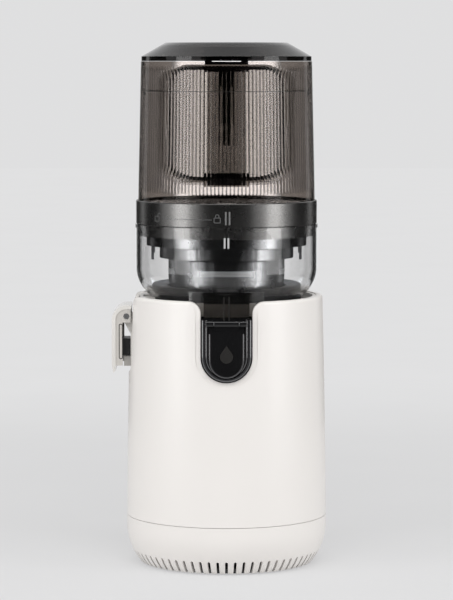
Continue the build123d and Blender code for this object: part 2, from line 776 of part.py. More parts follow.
with BuildPart() as spout_shroud:
    with BuildSketch(front.offset(spout_back)):
        add(u_outline(spout_half, spout_bottom, spout_corner, spout_split))
    extrude(amount=housing_radius)
    add(bush(0, spout_face, recess_bottom, spout_split), mode=Mode.INTERSECT)
    with BuildSketch(front.offset(spout_back + spout_wall)):
        add(u_outline(spout_half - spout_wall, spout_bottom + spout_wall, spout_corner - spout_wall,
                      spout_split, above=1.0))
    extrude(amount=spout_face - front_wall - spout_back - spout_wall, mode=Mode.SUBTRACT)
    with BuildSketch(front.offset(nozzle_face - spout_wall)):
        add(u_outline(spout_half - spout_wall, spout_bottom + spout_wall, spout_corner - spout_wall,
                      nozzle_height + nozzle_radius + 6))
        with Locations((0, nozzle_height)):
            Circle(nozzle_radius, mode=Mode.SUBTRACT)
    extrude(amount=spout_wall)
    with BuildSketch(front.offset(cap_back - 1)):
        add(u_outline(cap_half + window_gap, cap_bottom - window_gap, cap_corner + window_gap,
                      cap_hinge_height + cap_barrel_radius + window_gap))
    extrude(amount=10, mode=Mode.SUBTRACT)
    for side in (-1, 1):
        ends = sorted((side * (cap_barrel_half + body_gap), side * cap_lug_end))
        with BuildSketch(cap_axis.offset(ends[0])):
            Circle(cap_barrel_radius)
        extrude(amount=ends[1] - ends[0])
    with BuildSketch(cap_axis.offset(-cap_lug_end)):
        Circle(cap_pin_radius)
    extrude(amount=2 * cap_lug_end, mode=Mode.SUBTRACT)
finish(spout_shroud, "spout_shroud")

juice_cap_pin = rod(cap_axis, cap_pin_radius, -cap_lug_end, cap_lug_end)
finish(juice_cap_pin, "juice_cap_pin")

with BuildPart() as juice_cap:
    with BuildSketch(front.offset(cap_back)):
        add(u_outline(cap_half, cap_bottom, cap_corner, cap_top))
    extrude(amount=cap_face - cap_back)
    add(bush(0, cap_face, recess_bottom, spout_split), mode=Mode.INTERSECT)
    with BuildSketch(cap_axis.offset(-cap_barrel_half)):
        Circle(cap_barrel_radius)
        with Locations((0.6, -cap_barrel_radius)):
            Rectangle(2 * cap_barrel_radius - 2.0, 2 * cap_barrel_radius)
    extrude(amount=2 * cap_barrel_half)
    with BuildSketch(cap_axis.offset(-cap_barrel_half)):
        Circle(cap_pin_radius + running_gap)
    extrude(amount=2 * cap_barrel_half, mode=Mode.SUBTRACT)
finish(juice_cap, "juice_cap")

juice_cap_seal = rod(nozzle_plane, cap_seal_radius, nozzle_face + body_gap, cap_back)
finish(juice_cap_seal, "juice_cap_seal")

with BuildPart() as drop_mark:
    with BuildSketch(front.offset(cap_face - 2)):
        with Locations((0, drop_height)):
            Circle(drop_radius)
        tilt = asin(drop_radius / drop_rise)
        shoulder = (drop_radius * cos(tilt), drop_height + drop_radius * sin(tilt))
        with BuildLine():
            Polyline((-shoulder[0], shoulder[1]), (0, drop_height + drop_rise), shoulder, close=True)
        make_face()
    extrude(amount=2 + drop_relief)
    add(bush(0, cap_face, recess_bottom, spout_split), mode=Mode.SUBTRACT)
finish(drop_mark, "drop_mark")

duct_form = turned((0, spout_split), (spout_face, spout_split), (duct_top_radius, duct_top), (0, duct_top))
duct_hollow = turned((0, spout_split - 1), (spout_face - spout_wall, spout_split - 1),
                     (duct_top_radius - spout_wall, duct_top - spout_wall), (0, duct_top - spout_wall))
with BuildPart() as spout_duct:
    with BuildSketch(front.offset(spout_back)):
        add(u_outline(spout_half, spout_split, 0, housing_top + spout_gap, recess_flare + spout_gap,
                      above=duct_top - housing_top))
    extrude(amount=housing_radius)
    add(duct_form, mode=Mode.INTERSECT)
    with BuildPart(mode=Mode.PRIVATE) as duct_passage:
        with BuildSketch(front.offset(spout_back + spout_wall)):
            with Locations((0, (spout_split + duct_top) / 2)):
                Rectangle(2 * (spout_half - spout_wall), duct_top - spout_split + 2)
        extrude(amount=housing_radius)
        add(duct_hollow, mode=Mode.INTERSECT)
    add(duct_passage, mode=Mode.SUBTRACT)
    add(bowl_form(0, bowl_top), mode=Mode.SUBTRACT)
finish(spout_duct, "spout_duct")

# ---------------------------------------------------------------- pulp chute and its lever
pivot_reach = housing_radius - 0.3
pivot_height = housing_top - 17.8
pivot_radius = 2.45
chute_back = pulp_recess_back + body_gap
chute_face = housing_radius - 4.2
neck_face = housing_radius - 12.2
chute_shoulder = housing_top - 32.0
chute_wall = 2.6
pulp_hole_half = 10.5
pulp_hole_bottom = recess_bottom + 17.9
pulp_hole_height = 12.0
ear_inner = 12.5
ear_outer = 16.7
ear_radius = 4.2
catch_reach = 6.3

with BuildPart() as pulp_chute:
    with BuildSketch(left.offset(chute_back)):
        add(u_outline(spout_half, spout_bottom, chute_corner, housing_top - 1))
    extrude(amount=chute_face - chute_back)
    with BuildSketch(left.offset(neck_face)):
        with Locations((0, (chute_shoulder + housing_top) / 2 + 5)):
            Rectangle(3 * spout_half, housing_top - chute_shoulder + 10)
    extrude(amount=housing_radius, mode=Mode.SUBTRACT)
    # passage from the bowl floor down and out
    with BuildSketch(Plane.XZ):
        with BuildLine():
            Polyline(
                (-chute_back - chute_wall, housing_top + 5), (-chute_back - chute_wall, chute_shoulder - 10),
                (-neck_face + 4, pulp_hole_bottom), (-chute_face - 1, pulp_hole_bottom),
                (-chute_face - 1, pulp_hole_bottom + pulp_hole_height),
                (-neck_face + chute_wall, pulp_hole_bottom + pulp_hole_height),
                (-neck_face + chute_wall, housing_top + 5), close=True,
            )
        make_face()
    extrude(amount=pulp_hole_half, both=True, mode=Mode.SUBTRACT)
    add(bowl_form(0, bowl_top), mode=Mode.SUBTRACT)
    # catch for the latch, under the outlet
    catch_top = pulp_hole_bottom - 2.2
    add(block((-chute_face - catch_reach, -chute_face), (-ear_inner + 2, ear_inner - 2),
              (catch_top - 9.0, catch_top)))
    # ears that carry the lever's pin
    for side in (-1, 1):
        with BuildSketch(Plane.XZ.offset(side * (ear_inner + ear_outer) / 2)):
            with Locations((-pivot_reach, pivot_height)):
                Circle(ear_radius)
            with BuildLine():
                Polyline(
                    (-pivot_reach - 3.8, pivot_height - 1.8), (-chute_face, chute_shoulder - 2),
                    (-neck_face - 1, chute_shoulder - 2),
                (-pivot_reach + 3.6, pivot_height + 2.2), close=True,
                )
            make_face()
            with Locations((-pivot_reach, pivot_height)):
                Circle(pivot_radius, mode=Mode.SUBTRACT)
        extrude(amount=(ear_outer - ear_inner) / 2, both=True)
finish(pulp_chute, "pulp_chute")

lever_reach = housing_radius + 12.5      # outer face of the lever
lever_top = housing_top - 8.3
lever_half = 20.4
lever_wall = 3.3
lever_round = 12.8
lever_foot = recess_bottom + 4.0
lever_tip = recess_bottom + 1.4
lever_inner_end = pivot_reach - 4.2
cheek_thickness = 2.7
cheek_foot = recess_bottom + 8.0
cheek_inner = pivot_reach + 3.3
cheek_notch = pivot_height - 5.6
plug_half = pulp_hole_half + 1.4
plug_margin = 1.3
link_inner = plug_half + 1.1
link_bottom = lever_foot + 6.0
link_height = 13.4
latch_pin_radius = 1.0
latch_pin_reach = lever_reach - 7.8
latch_pin_height = link_bottom + 3.1

with BuildPart() as pulp_lever:
    with BuildSketch(Plane.XZ):
        with BuildLine():
            inner_round = lever_round - lever_wall
            centre = (-lever_reach + lever_round, lever_top - lever_round)
            outside = Line((-lever_inner_end, lever_top), (centre[0], lever_top))
            outer_arc = CenterArc(centre, lever_round, 90, 90)
            Polyline(outer_arc @ 1, (-lever_reach, lever_foot + 4), (-lever_reach + 1.4, lever_tip),
                     (-lever_reach + lever_wall + 0.3, lever_foot),
                     (-lever_reach + lever_wall, lever_foot + 4),
                     (centre[0] - inner_round, centre[1]))
            inner_arc = CenterArc(centre, inner_round, 180, -90)
            Polyline(inner_arc @ 1, (-lever_inner_end, lever_top - lever_wall), outside @ 0)
        make_face()
    extrude(amount=lever_half, both=True)
finish(pulp_lever, "pulp_lever")

with BuildPart() as lever_cheeks:
    for side in (-1, 1):
        with BuildSketch(Plane.XZ.offset(side * (lever_half - 0.5 - cheek_thickness / 2))):
            with BuildLine():
                cheek_arc = CenterArc((-lever_reach + lever_round, lever_top - lever_round),
                                      lever_round - lever_wall, 180, -90)
                Polyline(cheek_arc @ 1, (-lever_inner_end - 0.4, lever_top - lever_wall),
                         (-lever_inner_end - 0.4, cheek_notch), (-cheek_inner, cheek_notch),
                         (-cheek_inner, cheek_foot), (-lever_reach + lever_wall, cheek_foot), cheek_arc @ 0)
            make_face()
            with Locations((-pivot_reach, pivot_height)):
                Circle(pivot_radius + running_gap, mode=Mode.SUBTRACT)
        extrude(amount=cheek_thickness / 2, both=True)
finish(lever_cheeks, "lever_cheeks")

pivot_axis = Plane(origin=(-pivot_reach, 0, pivot_height), x_dir=(1, 0, 0), z_dir=(0, -1, 0))
lever_pin = rod(pivot_axis, pivot_radius, -lever_half, lever_half)
finish(lever_pin, "lever_pin")

lever_spring = rod(pivot_axis, pivot_radius + 1.5, -ear_inner + 1, ear_inner - 1,
                   bore=pivot_radius + running_gap)
finish(lever_spring, "lever_spring")

pulp_plug = block((-lever_reach + lever_wall, -chute_face - body_gap), (-plug_half, plug_half),
                  (pulp_hole_bottom - plug_margin, pulp_hole_bottom + pulp_hole_height + plug_margin))
finish(pulp_plug, "pulp_plug")

latch_axis = Plane(origin=(-latch_pin_reach, 0, latch_pin_height), x_dir=(1, 0, 0), z_dir=(0, -1, 0))
latch_reach = lever_half - 0.6 - cheek_thickness
with BuildPart() as latch_link:
    for side in (-1, 1):
        ends = sorted((side * link_inner, side * latch_reach))
        add(block((-lever_reach + lever_wall + 2.1, -cheek_inner - 0.3), (ends[0], ends[1]),
                  (link_bottom, link_bottom + link_height)))
    add(rod(latch_axis, latch_pin_radius, -latch_reach, latch_reach))
finish(latch_link, "latch_link")

# ---------------------------------------------------------------- strainer and auger
basket_top = bowl_top - 6.0
basket_flange_height = 12.5
basket_step_height = 11.0
basket_wall = 2.0
basket_foot_gap = 0.4
window_count = 10
window_width = 12.0
window_height = 12.0
window_bottom = bowl_floor + 21.5
mesh_thickness = 0.6
flange_bottom = basket_top - basket_flange_height
step_bottom = flange_bottom - basket_step_height
basket_bottom = bowl_inside_floor + 0.4
foot_bore = basket_seat_radius + basket_foot_gap

with BuildPart() as strainer_basket:
    add(turned(
        (basket_flange_radius, basket_top), (basket_flange_radius, flange_bottom),
        (basket_step_radius, flange_bottom - 1.5), (basket_step_radius, step_bottom),
        (basket_radius, step_bottom - 1.5), (basket_radius, bowl_floor + 16.5),
        (basket_radius - 0.9, bowl_floor + 16.0), (basket_radius - 0.9, basket_bottom),
        (foot_bore, basket_bottom), (foot_bore, bowl_floor + 15.0), (basket_bore, bowl_floor + 15.5),
        (basket_bore, step_bottom + 1.0), (basket_step_radius - basket_wall, step_bottom + 2.0),
        (basket_step_radius - basket_wall, flange_bottom + 0.5),
        (basket_flange_radius - basket_wall, flange_bottom + 2.0),
        (basket_flange_radius - basket_wall, basket_top),
    ))
    with BuildPart(mode=Mode.PRIVATE) as window_cutter:
        with BuildSketch(front.offset(basket_bore - 4)):
            with Locations((0, window_bottom + window_height / 2)):
                RectangleRounded(window_width, window_height, 2.0)
        extrude(amount=10)
    with PolarLocations(0, window_count):
        add(window_cutter, mode=Mode.SUBTRACT)
finish(strainer_basket, "strainer_basket")

strainer_mesh = bush(basket_bore - mesh_thickness - 0.1, basket_bore - 0.1, bowl_floor + 17, step_bottom - 1)
finish(strainer_mesh, "strainer_mesh")

auger_bottom = bowl_floor + hub_height + body_gap
auger_top = bowl_top + 3.0
flight_radius = basket_bore - mesh_thickness - 1.9
flight_inner = 18.0
flight_pitch = 30.0
flight_thickness = 4.0
flight_rise = 34.0
flight_start = auger_bottom + 3.0

with BuildPart() as auger:
    add(turned((0, auger_bottom), (33, auger_bottom), (33, auger_bottom + 5), (24, auger_bottom + 16),
               (19, auger_bottom + 40), (12, auger_top), (0, auger_top)))
    with BuildLine() as flight_path:
        Helix(flight_pitch, flight_rise, (flight_radius + flight_inner) / 2, center=(0, 0, flight_start))
    with BuildSketch(Plane(origin=flight_path.line @ 0, x_dir=(1, 0, 0), z_dir=flight_path.line % 0)):
        Rectangle(flight_radius - flight_inner, flight_thickness)
    sweep(path=flight_path.line, is_frenet=True)
    with BuildSketch(Plane.XY.offset(auger_bottom - 1)):
        RegularPolygon(hex_across / 2 + hex_gap, 6, major_radius=False)
    extrude(amount=shaft_top + 1.5 - auger_bottom + 1, mode=Mode.SUBTRACT)
    add(bush(0, 100, auger_bottom - 20, auger_bottom), mode=Mode.SUBTRACT)
finish(auger, "auger")

wing_thickness = 7.0
wing_height = 11.0
wing_hub_radius = 10.0
wing_radius = throat_radius - 4.0
with BuildPart() as feed_wing:
    add(bush(0, wing_hub_radius, auger_top, auger_top + wing_height + 3))
    with BuildSketch(Plane.XY.offset(auger_top)):
        SlotArc(CenterArc(((wing_radius - wing_thickness) / 2, 0),
                          (wing_radius - wing_thickness) / 2, 0, 170),
                wing_thickness)
    extrude(amount=wing_height)
finish(feed_wing, "feed_wing")

# ---------------------------------------------------------------- hopper
skirt_radius = bowl_radius - bowl_wall - 0.4
skirt_wall = 2.8
skirt_bottom = bowl_top - 10.0
throat_wall = 2.6
throat_bottom = basket_top + 1.2
ring_bore = hopper_foot_radius - hopper_wall - 0.2
funnel_drop = 15.0

with BuildPart() as hopper_ring:
    add(turned(
        (ring_radius - ring_bevel, ring_bottom), (ring_radius, ring_bottom + ring_bevel),
        (ring_radius, ring_top - ring_bevel), (ring_radius - ring_bevel, ring_top),
        (ring_bore, ring_top), (ring_bore, ring_top - 2), (throat_radius, ring_top - 2 - funnel_drop),
        (throat_radius, throat_bottom), (throat_radius + throat_wall, throat_bottom),
        (throat_radius + throat_wall, ring_top - 4.5 - funnel_drop),
        (skirt_radius - skirt_wall, ring_top - 7.0), (skirt_radius - skirt_wall, skirt_bottom),
        (skirt_radius, skirt_bottom), (skirt_radius, ring_bottom),
    ))
finish(hopper_ring, "hopper_ring")

# recess for the fingers at the rear, with the handle bar across it
pocket_half = 51.8
pocket_bottom = ring_top + 13.2
pocket_top = hopper_top - 4.9
pocket_round = 18.0
pocket_depth = 36.1
pocket_floor = hopper_foot_radius - pocket_depth
pocket_wall = 2.2
bar_half = 17.2
bar_back = hopper_foot_radius - 17.0
bar_round = 3.0
foot_half = 19.3
foot_block_top = pocket_bottom + 7.3
hinge_half = 19.7
hinge_bottom = hopper_top - 9.7
hinge_reach = lid_radius + 1.0
hinge_height = lid_bottom + 3.2
hinge_pin_radius = 1.9
hinge_lug_radius = 3.4
hinge_back = hinge_reach - 15.5
knuckle_outer = 12.9
knuckle_inner = 5.2
knuckle_radius = 3.1
collar_bottom = hopper_top - collar_height
rod_reach = (bar_back + hopper_foot_radius) / 2
rod_half_depth = 3.2
rod_top = hopper_top - 0.3
rod_head_half = 6.4
rod_head_bottom = hopper_top - 23.2
rod_neck_half = 4.7
rod_neck_bottom = hopper_top - 55.7
stem_radius = 2.2
stem_length = 20.0
spring_wall = 0.9
rod_travel = 3.0
slot_gap = 0.4

hinge_axis = Plane(origin=(0, hinge_reach, hinge_height), x_dir=(0, 1, 0), z_dir=(1, 0, 0))


def pocket_form(allowance, start, end):
    """Rounded box that fills the finger recess, grown by an allowance, between two depths."""
    with BuildPart() as solid:
        with BuildSketch(rear.offset(start)):
            with Locations((0, (pocket_bottom + pocket_top) / 2)):
                RectangleRounded(2 * (pocket_half + allowance), pocket_top - pocket_bottom + 2 * allowance,
                                 pocket_round + allowance)
        extrude(amount=end - start)
    return solid


pocket_outside = pocket_form(pocket_wall + seat_gap / 2, pocket_floor - pocket_wall, hopper_foot_radius + 5)
hinge_notch = block((-hinge_half - seat_gap, hinge_half + seat_gap),
                    (hinge_back - seat_gap, hopper_foot_radius + 5),
                    (hinge_bottom - seat_gap, lid_top))

for name, bottom, top in (("hopper_shell", ring_top, collar_bottom - seat_gap / 2),
                          ("hopper_collar", collar_bottom + seat_gap / 2, hopper_top)):
    with BuildPart() as wall_band:
        add(hopper_form(0, bottom, top))
        add(hopper_form(hopper_wall, bottom - 1, top + 1), mode=Mode.SUBTRACT)
        add(pocket_outside, mode=Mode.SUBTRACT)
        add(hinge_notch, mode=Mode.SUBTRACT)
    finish(wall_band, name)

with BuildPart() as handle_pocket:
    add(pocket_form(pocket_wall, pocket_floor - pocket_wall, hopper_foot_radius + 5))
    add(pocket_form(0, pocket_floor, hopper_foot_radius + 6), mode=Mode.SUBTRACT)
    add(hopper_form(0, ring_top, hopper_top), mode=Mode.INTERSECT)
    add(hinge_notch, mode=Mode.SUBTRACT)
finish(handle_pocket, "handle_pocket")

with BuildPart() as handle_bar:
    with BuildSketch(Plane.XY.offset(foot_block_top)):
        with Locations((0, bar_back + 20)):
            RectangleRounded(2 * bar_half, 40, bar_round)
    extrude(amount=hinge_bottom - foot_block_top)
    add(hopper_form(0, ring_top, hopper_top), mode=Mode.INTERSECT)
    for half, bottom in ((rod_head_half, rod_head_bottom - slot_gap),
                         (rod_neck_half, rod_neck_bottom - slot_gap)):
        add(block((-half - slot_gap, half + slot_gap),
                  (rod_reach - rod_half_depth - slot_gap, rod_reach + rod_half_depth + slot_gap),
                  (bottom, hopper_top)), mode=Mode.SUBTRACT)
    with BuildSketch(Plane.XY.offset(rod_neck_bottom - stem_length - slot_gap)):
        with Locations((0, rod_reach)):
            Circle(stem_radius + running_gap + spring_wall + seat_gap)
    extrude(amount=stem_length + slot_gap, mode=Mode.SUBTRACT)
finish(handle_bar, "handle_bar")

with BuildPart() as handle_foot:
    add(block((-foot_half, foot_half), (bar_back - 2, hopper_foot_radius + 2),
              (pocket_bottom, foot_block_top)))
    add(hopper_form(-0.6, ring_top, hopper_top), mode=Mode.INTERSECT)
finish(handle_foot, "handle_foot")

with BuildPart() as interlock_rod:
    for half, bottom, top in ((rod_head_half, rod_head_bottom, rod_top),
                              (rod_neck_half, rod_neck_bottom, rod_head_bottom)):
        add(block((-half, half), (rod_reach - rod_half_depth, rod_reach + rod_half_depth), (bottom, top)))
    with BuildSketch(Plane.XY.offset(rod_neck_bottom - stem_length + rod_travel)):
        with Locations((0, rod_reach)):
            Circle(stem_radius)
    extrude(amount=stem_length - rod_travel)
finish(interlock_rod, "interlock_rod")

with BuildPart() as rod_spring:
    with BuildSketch(Plane.XY.offset(rod_neck_bottom - stem_length)):
        with Locations((0, rod_reach)):
            Circle(stem_radius + running_gap + spring_wall)
            Circle(stem_radius + running_gap, mode=Mode.SUBTRACT)
    extrude(amount=stem_length - body_gap)
finish(rod_spring, "rod_spring")

with BuildPart() as hinge_block:
    add(block((-hinge_half, hinge_half), (hinge_back, hinge_reach + hinge_lug_radius),
              (hinge_bottom, rod_top)))
    fillet(hinge_block.edges().filter_by(Axis.X).group_by(Axis.Y)[-1].sort_by(Axis.Z)[0], radius=6)
    for side in (-1, 1):
        ends = sorted((side * (knuckle_outer + body_gap), side * hinge_half))
        with BuildSketch(hinge_axis.offset(ends[0])):
            Circle(hinge_lug_radius)
            with Locations((0, (rod_top - 1 - hinge_height) / 2)):
                Rectangle(2 * hinge_lug_radius, hinge_height - rod_top + 1)
        extrude(amount=ends[1] - ends[0])
    with BuildSketch(hinge_axis.offset(-hinge_half)):
        Circle(hinge_pin_radius)
    extrude(amount=2 * hinge_half, mode=Mode.SUBTRACT)
    add(block((-rod_head_half - slot_gap, rod_head_half + slot_gap),
              (rod_reach - rod_half_depth - slot_gap, rod_reach + rod_half_depth + slot_gap),
              (hinge_bottom - 1, hopper_top + 1)), mode=Mode.SUBTRACT)
    # room for the knuckles under the pin
    with BuildSketch(hinge_axis.offset(-knuckle_outer - body_gap)):
        Circle(knuckle_radius + body_gap)
    extrude(amount=2 * (knuckle_outer + body_gap), mode=Mode.SUBTRACT)
finish(hinge_block, "hinge_block")

lid_hinge_pin = rod(hinge_axis, hinge_pin_radius, -hinge_half, hinge_half)
finish(lid_hinge_pin, "lid_hinge_pin")

lid_spring = rod(hinge_axis, hinge_pin_radius + 0.9, -knuckle_inner + body_gap, knuckle_inner - body_gap,
                 bore=hinge_pin_radius + running_gap)
finish(lid_spring, "lid_spring")

arm_bottom = lid_bottom + 1.2
lid_notch_depth = hinge_reach - 4.2
with BuildPart() as lid_outside:
    add(turned((0, lid_bottom), (lid_radius, lid_bottom),
               (lid_radius, lid_shoulder), (lid_top_radius, lid_top),
               (0, lid_top)))

with BuildPart() as lid_web:
    add(block((-knuckle_outer, knuckle_outer), (lid_notch_depth - 5, lid_notch_depth), (arm_bottom, lid_top)))
    add(block((-knuckle_inner + 0.4, knuckle_inner - 0.4), (lid_notch_depth - 4.3, lid_notch_depth - 0.3),
              (rod_top + 0.6, lid_top)))
    add(lid_outside, mode=Mode.INTERSECT)

with BuildPart() as lid:
    add(lid_outside)
    add(turned((0, lid_bottom - 1), (lid_radius - lid_wall, lid_bottom - 1),
               (lid_radius - lid_wall, lid_shoulder - 0.5), (lid_top_radius - 1.0, lid_top - lid_wall),
               (0, lid_top - lid_wall)), mode=Mode.SUBTRACT)
    add(block((-hinge_half - body_gap, hinge_half + body_gap), (lid_notch_depth, lid_radius + 5),
              (lid_bottom - 1, lid_top)), mode=Mode.SUBTRACT)
    add(lid_web)
    for side in (-1, 1):
        ends = sorted((side * knuckle_inner, side * knuckle_outer))
        add(block(ends, (lid_notch_depth - 5, hinge_reach), (arm_bottom, hinge_height + 1.2)))
        with BuildSketch(hinge_axis.offset(ends[0])):
            Circle(knuckle_radius)
        extrude(amount=ends[1] - ends[0])
    with BuildSketch(hinge_axis.offset(-knuckle_outer)):
        Circle(hinge_pin_radius + running_gap)
    extrude(amount=2 * knuckle_outer, mode=Mode.SUBTRACT)
finish(lid, "lid")
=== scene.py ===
"""Cold press juicer: finishes, fluted hopper walls, coil springs, marks and a plain studio stage.

Every new shape is a surface worked out with numpy, in metres, in the model's own frame: +Z up along the
drive axis, the juice spout at -Y, the pulp lever at -X, the handle and the lid hinge at +Y.
"""
import math

import bmesh
import bpy
import mathutils
import numpy as np
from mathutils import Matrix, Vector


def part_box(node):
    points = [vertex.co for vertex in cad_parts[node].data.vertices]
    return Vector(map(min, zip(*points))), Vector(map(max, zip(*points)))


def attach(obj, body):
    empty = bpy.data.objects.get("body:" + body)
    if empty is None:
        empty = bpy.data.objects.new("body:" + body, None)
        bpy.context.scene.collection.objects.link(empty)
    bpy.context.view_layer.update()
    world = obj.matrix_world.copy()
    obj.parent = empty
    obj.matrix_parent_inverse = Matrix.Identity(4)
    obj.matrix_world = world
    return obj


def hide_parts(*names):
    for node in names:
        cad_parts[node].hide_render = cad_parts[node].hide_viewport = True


bl_info = {
    "name": "Cold press juicer",
    "version": (1, 0, 0),
    "blender": (4, 5, 0),
    "location": "View3D > Sidebar > Juicer",
    "description": "Finishes and fine pieces of a vertical cold press juicer",
    "category": "Object",
}

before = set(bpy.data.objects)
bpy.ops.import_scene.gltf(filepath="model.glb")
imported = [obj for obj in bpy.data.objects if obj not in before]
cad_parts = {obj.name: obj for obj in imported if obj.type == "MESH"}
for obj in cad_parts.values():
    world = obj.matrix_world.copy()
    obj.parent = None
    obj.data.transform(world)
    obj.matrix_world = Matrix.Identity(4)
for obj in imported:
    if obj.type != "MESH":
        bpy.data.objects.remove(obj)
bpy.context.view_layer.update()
tau = 2 * math.pi
weld = 2e-6  # points nearer than this, in metres, become one
smooth_angle = math.radians(32)  # edges of a CAD node that bend by more stay sharp
rooted = -0.0003  # height at which a raised mark starts, inside the wall that carries it

hopper_low, hopper_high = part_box("hopper_shell")
collar_low, collar_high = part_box("hopper_collar")
ring_low, ring_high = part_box("hopper_ring")
bowl_low, bowl_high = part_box("juice_bowl")
pocket_low, pocket_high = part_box("handle_pocket")
housing_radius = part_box("main_housing")[1].x


# ---------------------------------------------------------------- settings
class JuicerFinishSettings(bpy.types.PropertyGroup):
    """Colours and gloss of the juicer's finishes."""
    shell: bpy.props.FloatVectorProperty(
        name="Shell", description="Colour of the moulded base shells", subtype="COLOR",
        size=3, min=0, max=1, default=(0.86, 0.83, 0.80))
    shell_roughness: bpy.props.FloatProperty(
        name="Shell roughness", description="How satin the base shells are",
        min=0.05, max=1, default=0.36)
    smoke: bpy.props.FloatVectorProperty(
        name="Hopper smoke", description="Tint of light through one wall of the hopper", subtype="COLOR",
        size=3, min=0, max=1, default=(0.46, 0.425, 0.40))
    pocket_smoke: bpy.props.FloatVectorProperty(
        name="Handle recess smoke", description="Tint of light through the wall of the finger recess",
        subtype="COLOR", size=3, min=0, max=1, default=(0.285, 0.260, 0.240))
    bar_smoke: bpy.props.FloatVectorProperty(
        name="Bar smoke", description="Tint of light through the handle bar", subtype="COLOR",
        size=3, min=0, max=1, default=(0.20, 0.185, 0.17))
    lid_smoke: bpy.props.FloatVectorProperty(
        name="Lid smoke", description="Tint of light through the lid", subtype="COLOR",
        size=3, min=0, max=1, default=(0.075, 0.070, 0.066))
    bowl_tint: bpy.props.FloatVectorProperty(
        name="Bowl tint", description="Tint of light through the wall of the bowl", subtype="COLOR",
        size=3, min=0, max=1, default=(0.94, 0.94, 0.94))
    duct_smoke: bpy.props.FloatVectorProperty(
        name="Duct smoke", description="Tint of light through the juice duct", subtype="COLOR",
        size=3, min=0, max=1, default=(0.42, 0.41, 0.40))


class JuicerHopperSettings(bpy.types.PropertyGroup):
    """Sizes of the fluted hopper walls."""
    flutes: bpy.props.IntProperty(
        name="Flutes", description="Upright flutes in a whole turn of the wall", min=24, max=360, default=144)
    depth: bpy.props.FloatProperty(
        name="Flute depth", description="How deep the flutes are pressed into the inner side",
        subtype="DISTANCE", unit="LENGTH", min=0, max=0.0015, default=0.00028)
    wall: bpy.props.FloatProperty(
        name="Wall", description="Thickness of the wall at its crests",
        subtype="DISTANCE", unit="LENGTH", min=0.001, max=0.004, default=0.0026)
    plain_foot: bpy.props.FloatProperty(
        name="Plain foot", description="Height of the smooth band below the flutes",
        subtype="DISTANCE", unit="LENGTH", min=0, max=0.02, default=0.0062)


class JuicerMarkSettings(bpy.types.PropertyGroup):
    """Sizes of the raised guide marks."""
    stroke: bpy.props.FloatProperty(
        name="Stroke", description="Width of the mark's lines",
        subtype="DISTANCE", unit="LENGTH", min=0.0002, max=0.003, default=0.00075)
    relief: bpy.props.FloatProperty(
        name="Relief", description="How far the marks stand proud",
        subtype="DISTANCE", unit="LENGTH", min=0.00005, max=0.0008, default=0.00022)
    lock_turn: bpy.props.FloatProperty(
        name="Lock turn", description="Angle between the open and the locked mark",
        subtype="ANGLE", min=0.2, max=1.4, default=math.radians(43))


class JuicerStageSettings(bpy.types.PropertyGroup):
    """Floor, background and lamps."""
    backdrop: bpy.props.FloatVectorProperty(
        name="Backdrop", description="Colour of the background and of the floor", subtype="COLOR",
        size=3, min=0, max=1, default=(0.74, 0.74, 0.745))
    fill: bpy.props.FloatProperty(
        name="Fill", description="Level of the light from all round", min=0, max=2, default=0.45)
    strip_power: bpy.props.FloatProperty(
        name="Strip lamps", description="Power of each tall side lamp in watts", min=0, max=100, default=9.0)
    top_power: bpy.props.FloatProperty(
        name="Top lamp", description="Power of the lamp overhead in watts", min=0, max=100, default=14.0)
    card_power: bpy.props.FloatProperty(
        name="Card", description="Level of the card behind the hopper", min=0, max=20, default=5.5)


# ---------------------------------------------------------------- meshes
def grid_faces(rows, columns, wrap=False):
    """Quads of a grid of points stored row by row; wrap joins the last column to the first.

    Each quad is (i, j), (i, j + 1), (i + 1, j + 1), (i + 1, j).
    """
    row = np.arange(rows - 1)[:, None] * columns
    here = np.arange(columns if wrap else columns - 1)[None, :]
    after = (here + 1) % columns
    quads = np.stack([row + here, row + after, row + columns + after, row + columns + here], -1)
    return quads.reshape(-1, 4)


def new_piece(name, points, faces, body, slot, material, stands_for=(), values=None, sharp=35.0):
    """Mesh object from points in metres and faces as index rows, riding on a body.

    Doubles are merged, normals point out of the closed shape, and edges sharper than the angle stay sharp.
    values, one number per point, goes into the mesh as the attribute "level".
    """
    mesh = bpy.data.meshes.new(name)
    mesh.from_pydata(np.asarray(points, float).reshape(-1, 3).tolist(), [], [list(f) for f in faces])
    if values is not None:
        mesh.attributes.new("level", "FLOAT", "POINT").data.foreach_set(
            "value", np.asarray(values, np.float32).ravel())
    shape = bmesh.new()
    shape.from_mesh(mesh)
    bmesh.ops.remove_doubles(shape, verts=shape.verts, dist=weld)
    bmesh.ops.recalc_face_normals(shape, faces=shape.faces)
    shape.to_mesh(mesh)
    shape.free()
    mesh.polygons.foreach_set("use_smooth", np.ones(len(mesh.polygons), bool))
    mesh.set_sharp_from_angle(angle=math.radians(sharp))
    mesh.materials.append(material)
    mesh.update()
    piece = bpy.data.objects.new(name, mesh)
    bpy.context.scene.collection.objects.link(piece)
    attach(piece, body)
    if stands_for:
        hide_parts(*stands_for)
    return piece


def joined(*parts):
    """Several (points, faces) pairs as one pair."""
    points, faces, count = [], [], 0
    for some_points, some_faces in parts:
        some_points = np.asarray(some_points, float).reshape(-1, 3)
        points.append(some_points)
        faces += [[i + count for i in face] for face in some_faces]
        count += len(some_points)
    return np.concatenate(points), faces


def carried_ring(path, across, up, section):
    """A closed section carried along a path, with its two ends closed.

    Point (i, k) = path[i] + section[k, 0] * across[i] + section[k, 1] * up[i].
    """
    points = path[:, None] + section[None, :, :1] * across[:, None] + section[None, :, 1:] * up[:, None]
    rows, columns = points.shape[:2]
    ends = [list(range(columns)), list(range((rows - 1) * columns, rows * columns))]
    return points.reshape(-1, 3), grid_faces(rows, columns, wrap=True).tolist() + ends


